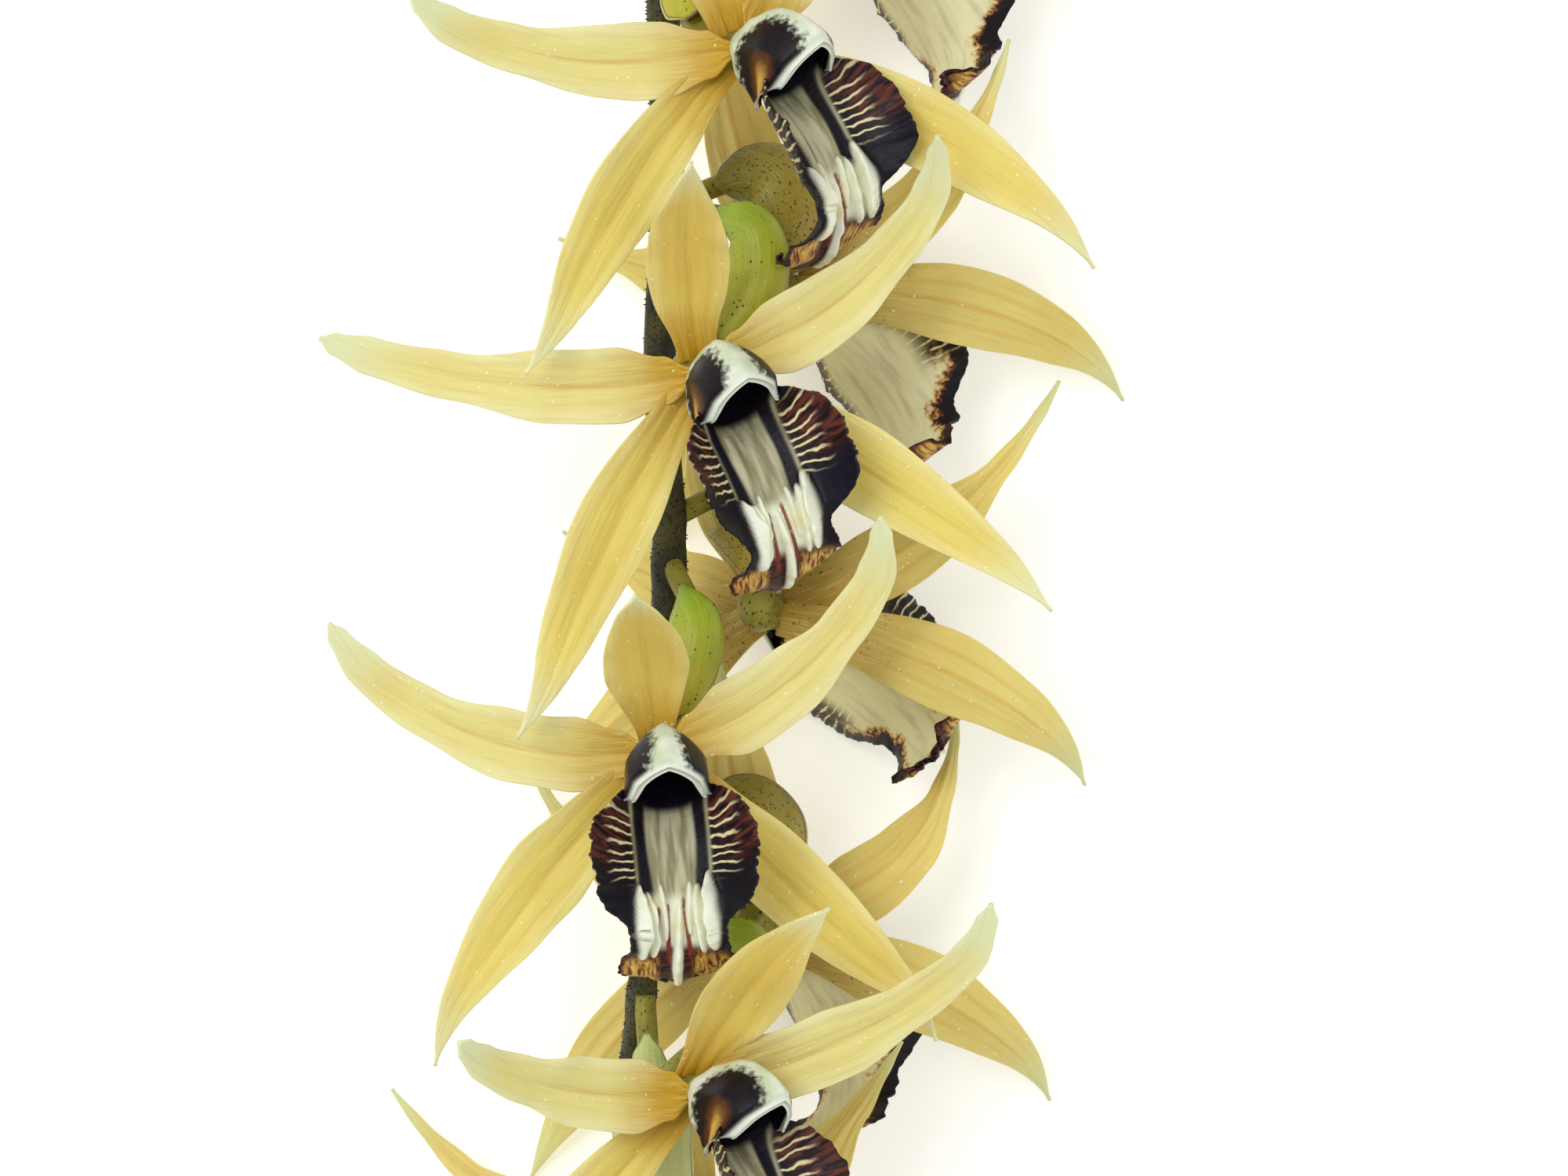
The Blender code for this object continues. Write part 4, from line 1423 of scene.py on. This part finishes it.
@dataclass
class Spike:
    """The whole spike: its flowers and its stem."""

    # For each flower: centre, facing, bearing of the dorsal sepal, the ovary's first three points,
    # then each tepal's tip from the centre, bow, lift, hook and twist, in the order of Leaf.
    table: dict[str, tuple] = field(
        default_factory=lambda: {
            "f0": (
                (-3.6, 100.8, 36.0), (0.62, -0.2, 0.76), 98,
                [(-12.0, 122.0, 24.6), (-8.0, 117.0, 27.4), (-4.8, 109.0, 29.6)],
                ((-1.0, 22.0, 21.0), 0.5, -2.5, 0.0, 4),
                ((-38.0, 9.0, 8.0), -2.0, -1.5, 0.0, -6),
                ((27.0, 25.0, 9.0), 3.5, -2.0, 0.0, 8),
                ((-19.4, -33.0, 5.5), 1.6, 1.0, 1.5, 10),
                ((37.0, -23.0, 4.0), -2.0, 0.5, -1.5, -8),
            ),
            "f1": (
                (-5.0, 61.2, 36.0), (0.72, -0.2, 0.66), 114,
                [(-11.6, 80.5, 26.8), (-10.6, 74.5, 28.8), (-10.4, 67.0, 30.2)],
                ((-6.0, 27.0, 13.0), -0.5, -1.5, 0.0, 4),
                ((-36.9, 3.6, 14.0), -3.4, -2.5, 1.6, -6),
                ((13.0, 37.0, -4.0), 2.5, -1.0, 0.0, 8),
                ((-23.0, -37.8, 5.0), 2.6, 1.0, 1.5, 10),
                ((41.0, -23.6, 0.5), -2.8, 0.5, 1.5, -8),
            ),
            "f2": (
                (-9.0, 24.3, 36.0), (0.42, -0.26, 0.87), 110,
                [(-11.0, 44.0, 27.0), (-3.6, 41.0, 30.4), (-4.4, 32.0, 30.8)],
                ((-1.2, 22.6, 19.0), -0.4, -2.5, 0.0, 2),
                ((-43.6, 4.0, 3.0), -3.2, -2.0, 0.0, -4),
                ((27.8, 24.8, 9.0), 4.8, -3.0, -2.4, 8),
                ((-19.8, -41.9, 5.0), 1.9, 1.0, 1.5, 8),
                ((39.9, -26.1, 2.0), -1.0, 1.0, 1.0, -8),
            ),
            "f3": (
                (-14.0, -18.9, 36.0), (0.1, -0.28, 0.95), 94,
                [(-12.0, 2.6, 27.6), (-10.2, -4.0, 29.4), (-11.8, -11.0, 30.2)],
                ((-2.4, 18.0, 21.0), 0.0, -2.5, 0.0, 0),
                ((-37.8, 14.0, 4.0), -5.4, -2.0, 1.0, -4),
                ((26.6, 25.2, 8.0), 4.4, -2.0, -2.6, 8),
                ((-26.6, -34.2, 4.5), 1.8, 1.0, -1.5, 8),
                ((33.0, -31.0, -1.0), 0.8, 0.0, 2.4, -8),
            ),
            "f4": (
                (-9.9, -57.6, 36.0), (0.72, -0.2, 0.66), 92,
                [(-13.0, -38.6, 26.8), (-4.6, -41.0, 28.2), (-7.0, -50.6, 28.8)],
                ((14.9, 22.0, 15.0), -1.0, -1.0, 0.0, 4),
                ((-26.1, 6.8, 20.0), -2.4, -2.5, 0.8, -6),
                ((34.7, 19.8, 9.0), 3.4, -0.6, -3.0, 14),
                ((-27.0, -33.0, 5.0), 1.8, 1.0, 1.5, 8),
                ((34.0, -28.0, 1.0), 2.0, 1.0, -1.5, -8),
            ),
            "r0": (
                (6.6, 79.0, 16.0), (0.7, -0.15, -0.7), 124,
                [(-10.9, 89.0, 23.0), (-4.6, 92.0, 21.4), (0.6, 87.6, 20.6)],
                ((-8.0, 32.0, -2.0), 0.5, 1.0, 0.0, 0),
                ((-30.0, 9.0, -14.0), 1.0, 0.0, 0.0, 0),
                ((26.0, 26.0, 2.0), -3.0, 1.0, 0.0, 0),
                ((-22.0, -27.0, -15.6), -1.2, 0.5, 0.0, 0),
                ((38.0, -4.0, -15.6), 2.0, 5.0, 0.0, 0),
            ),
            "r1": (
                (0.9, 34.6, 16.0), (0.64, -0.15, -0.75), 126,
                [(-10.9, 44.5, 23.2), (-4.6, 47.4, 21.4), (-0.4, 43.0, 20.6)],
                ((-9.0, 31.0, -2.0), 0.5, 1.0, 0.0, 0),
                ((-27.8, 7.2, -14.0), 1.0, 0.0, 0.0, 0),
                ((25.4, 29.4, 3.0), -5.0, 1.0, 0.0, 0),
                ((-18.0, -31.3, -15.6), 0.6, 0.5, 0.0, 0),
                ((40.0, -11.0, -15.6), 4.2, 6.0, -1.0, 0),
            ),
            "r2": (
                (-1.4, -2.7, 16.0), (0.46, -0.12, -0.88), 140,
                [(-10.6, 8.4, 23.2), (-5.6, 11.2, 21.4), (-2.4, 6.0, 20.6)],
                ((-9.0, 31.0, -2.0), 0.5, 1.0, 0.0, 0),
                ((-25.0, 9.4, -14.0), 1.0, 0.0, 0.0, 0),
                ((33.6, 26.9, 2.0), -4.6, 1.0, 0.0, 0),
                ((-26.6, -20.6, -15.6), -0.6, 0.5, 0.0, 0),
                ((37.6, -19.7, -9.0), 4.0, 10.0, -1.0, 0),
            ),
            "r3": (
                (-1.4, -40.0, 16.9), (0.6, -0.2, -0.77), 104,
                [(-12.0, -28.4, 23.2), (-6.4, -25.6, 21.4), (-2.8, -31.0, 20.6)],
                ((-6.0, 31.0, -2.0), 0.5, 1.0, 0.0, 0),
                ((-29.4, 18.8, -14.0), 4.4, 0.0, -1.0, 0),
                ((21.9, 25.6, -7.5), -6.4, 0.5, 0.0, 0),
                ((-29.0, -31.0, -16.45), -3.6, 0.5, 0.0, 0),
                ((33.8, -20.5, -16.45), 3.6, 4.0, -1.0, 0),
            ),
            "r4": (
                (-8.3, -80.2, 16.0), (0.55, -0.3, -0.78), 100,
                [(-15.2, -47.5, 27.2), (-15.4, -57.0, 26.8), (-14.6, -68.0, 24.6)],
                ((-9.0, 29.0, -4.0), 0.5, 1.0, 0.0, 0),
                ((-38.6, 20.2, -14.0), 5.0, 0.0, 0.0, 0),
                ((22.0, 27.6, 7.0), -1.5, 1.0, 0.0, 0),
                ((-22.0, -30.0, -15.6), 1.8, 0.5, 0.0, 0),
                ((30.0, -24.0, -15.6), 0.4, 1.5, 0.0, 0),
            ),
        }
    )
    joined: tuple[str, ...] = ("f0", "r0", "r4")
    # How far the ovary's last point stands behind the flower's centre, and the share of the way
    # from a stalk's first point to the stem's middle line that the stalk starts at.
    neck: float = 4.0
    rooted: float = 0.7

    def stem(self) -> Stem:
        """The stem, with its swellings where the flowers' stalks leave it."""
        return Stem([row[3][0][1] for row in self.table.values()])

    def flowers(self) -> list[Flower]:
        """The flowers of the table, ready to build. Each stalk starts inside the stem.

        Returns:
            One Flower for each row.
        """
        made = []
        stem = self.stem().line(np.linspace(0.0, 1.0, 900))
        for number, (key, row) in enumerate(self.table.items()):
            centre, facing, bearing, ovary, *tepals = row
            axes = Axes.of(centre, facing, bearing)
            line = np.array([*ovary, axes.centre - self.neck * axes.forward, axes.centre])
            node = stem[np.argmin(np.linalg.norm(stem - line[0], axis=1))]
            line[0] = (1.0 - self.rooted) * line[0] + self.rooted * node
            poses = {leaf: Pose(*pose) for leaf, pose in zip(Leaf, tepals)}
            rank = Rank.FRONT if key.startswith("f") else Rank.REAR
            made.append(Flower(key, rank, axes, line, poses, key in self.joined, number))
        return made

    def build(self, finishes: Finishes) -> None:
        """Build and dress the stem and every flower.

        Args:
            finishes: The tissues' materials.
        """
        self.stem().build(finishes)
        for flower in self.flowers():
            flower.build(finishes)


@dataclass
class Stage:
    """Pale floor, soft studio light, and the camera that looks straight down on the spike."""

    camera_place: Triple = (0.003908, -0.024085, 0.68002)
    lens: float = 130.0
    floor_size: float = 3.0
    floor_colour: str = "FCFCFA"
    floor_glow: float = 0.32
    sky_glow: float = 0.60
    sensor: float = 36.0
    # Name, place, length of the side and power of each lamp.
    lamps: tuple[tuple[str, Triple, float, float], ...] = (
        ("key", (-0.35, 0.30, 0.85), 0.5, 4.2),
        ("fill", (0.55, -0.35, 0.80), 0.9, 1.6),
    )

    def build(self) -> None:
        """Build the floor, the lights and the camera."""
        scene = bpy.context.scene
        half = self.floor_size / 2.0
        mesh = bpy.data.meshes.new("floor")
        corners = [(-half, -half, 0.0), (half, -half, 0.0), (half, half, 0.0), (-half, half, 0.0)]
        mesh.from_pydata(corners, [], [(0, 1, 2, 3)])
        bench = Bench("floor_paper", 0.9)
        bench.set("Base Color", tint(self.floor_colour))
        bench.set("Emission Color", tint(self.floor_colour))
        bench.set("Emission Strength", self.floor_glow)
        mesh.materials.append(bench.material)
        floor = bpy.data.objects.new("floor", mesh)
        scene.collection.objects.link(floor)
        world = bpy.data.worlds.new("studio")
        world.use_nodes = True
        sky = world.node_tree.nodes["Background"].inputs
        sky["Color"].default_value = (1.0, 1.0, 1.0, 1.0)
        sky["Strength"].default_value = self.sky_glow
        scene.world = world
        for lamp in self.lamps:
            self.light(*lamp)
        lens = bpy.data.cameras.new("camera")
        lens.lens, lens.sensor_width = self.lens, self.sensor
        lens.clip_start, lens.clip_end = 0.01, 20.0
        camera = bpy.data.objects.new("camera", lens)
        camera.location = self.camera_place
        scene.collection.objects.link(camera)
        scene.camera = camera
        scene.view_settings.view_transform = "Standard"

    def light(self, name: str, place: Triple, size: float, power: float) -> None:
        """A square soft light that points at the spike's middle.

        Args:
            name: Name of the light.
            place: Where it stands, in metres.
            size: Length of its side, in metres.
            power: Its power in watts.
        """
        lamp = bpy.data.lights.new(name, "AREA")
        lamp.size, lamp.energy = size, power
        made = bpy.data.objects.new(name, lamp)
        made.location = place
        toward = -made.location.normalized()
        made.rotation_euler = toward.to_track_quat("-Z", "Y").to_euler()
        bpy.context.scene.collection.objects.link(made)


def main() -> None:
    """Build the stage and the spike."""
    logging.basicConfig(level=logging.INFO, format="%(name)s: %(message)s")
    LOG.info("frame with %d solids", len(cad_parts))
    Stage().build()
    Spike().build(Finishes.make())


if __name__ == "__main__":
    main()
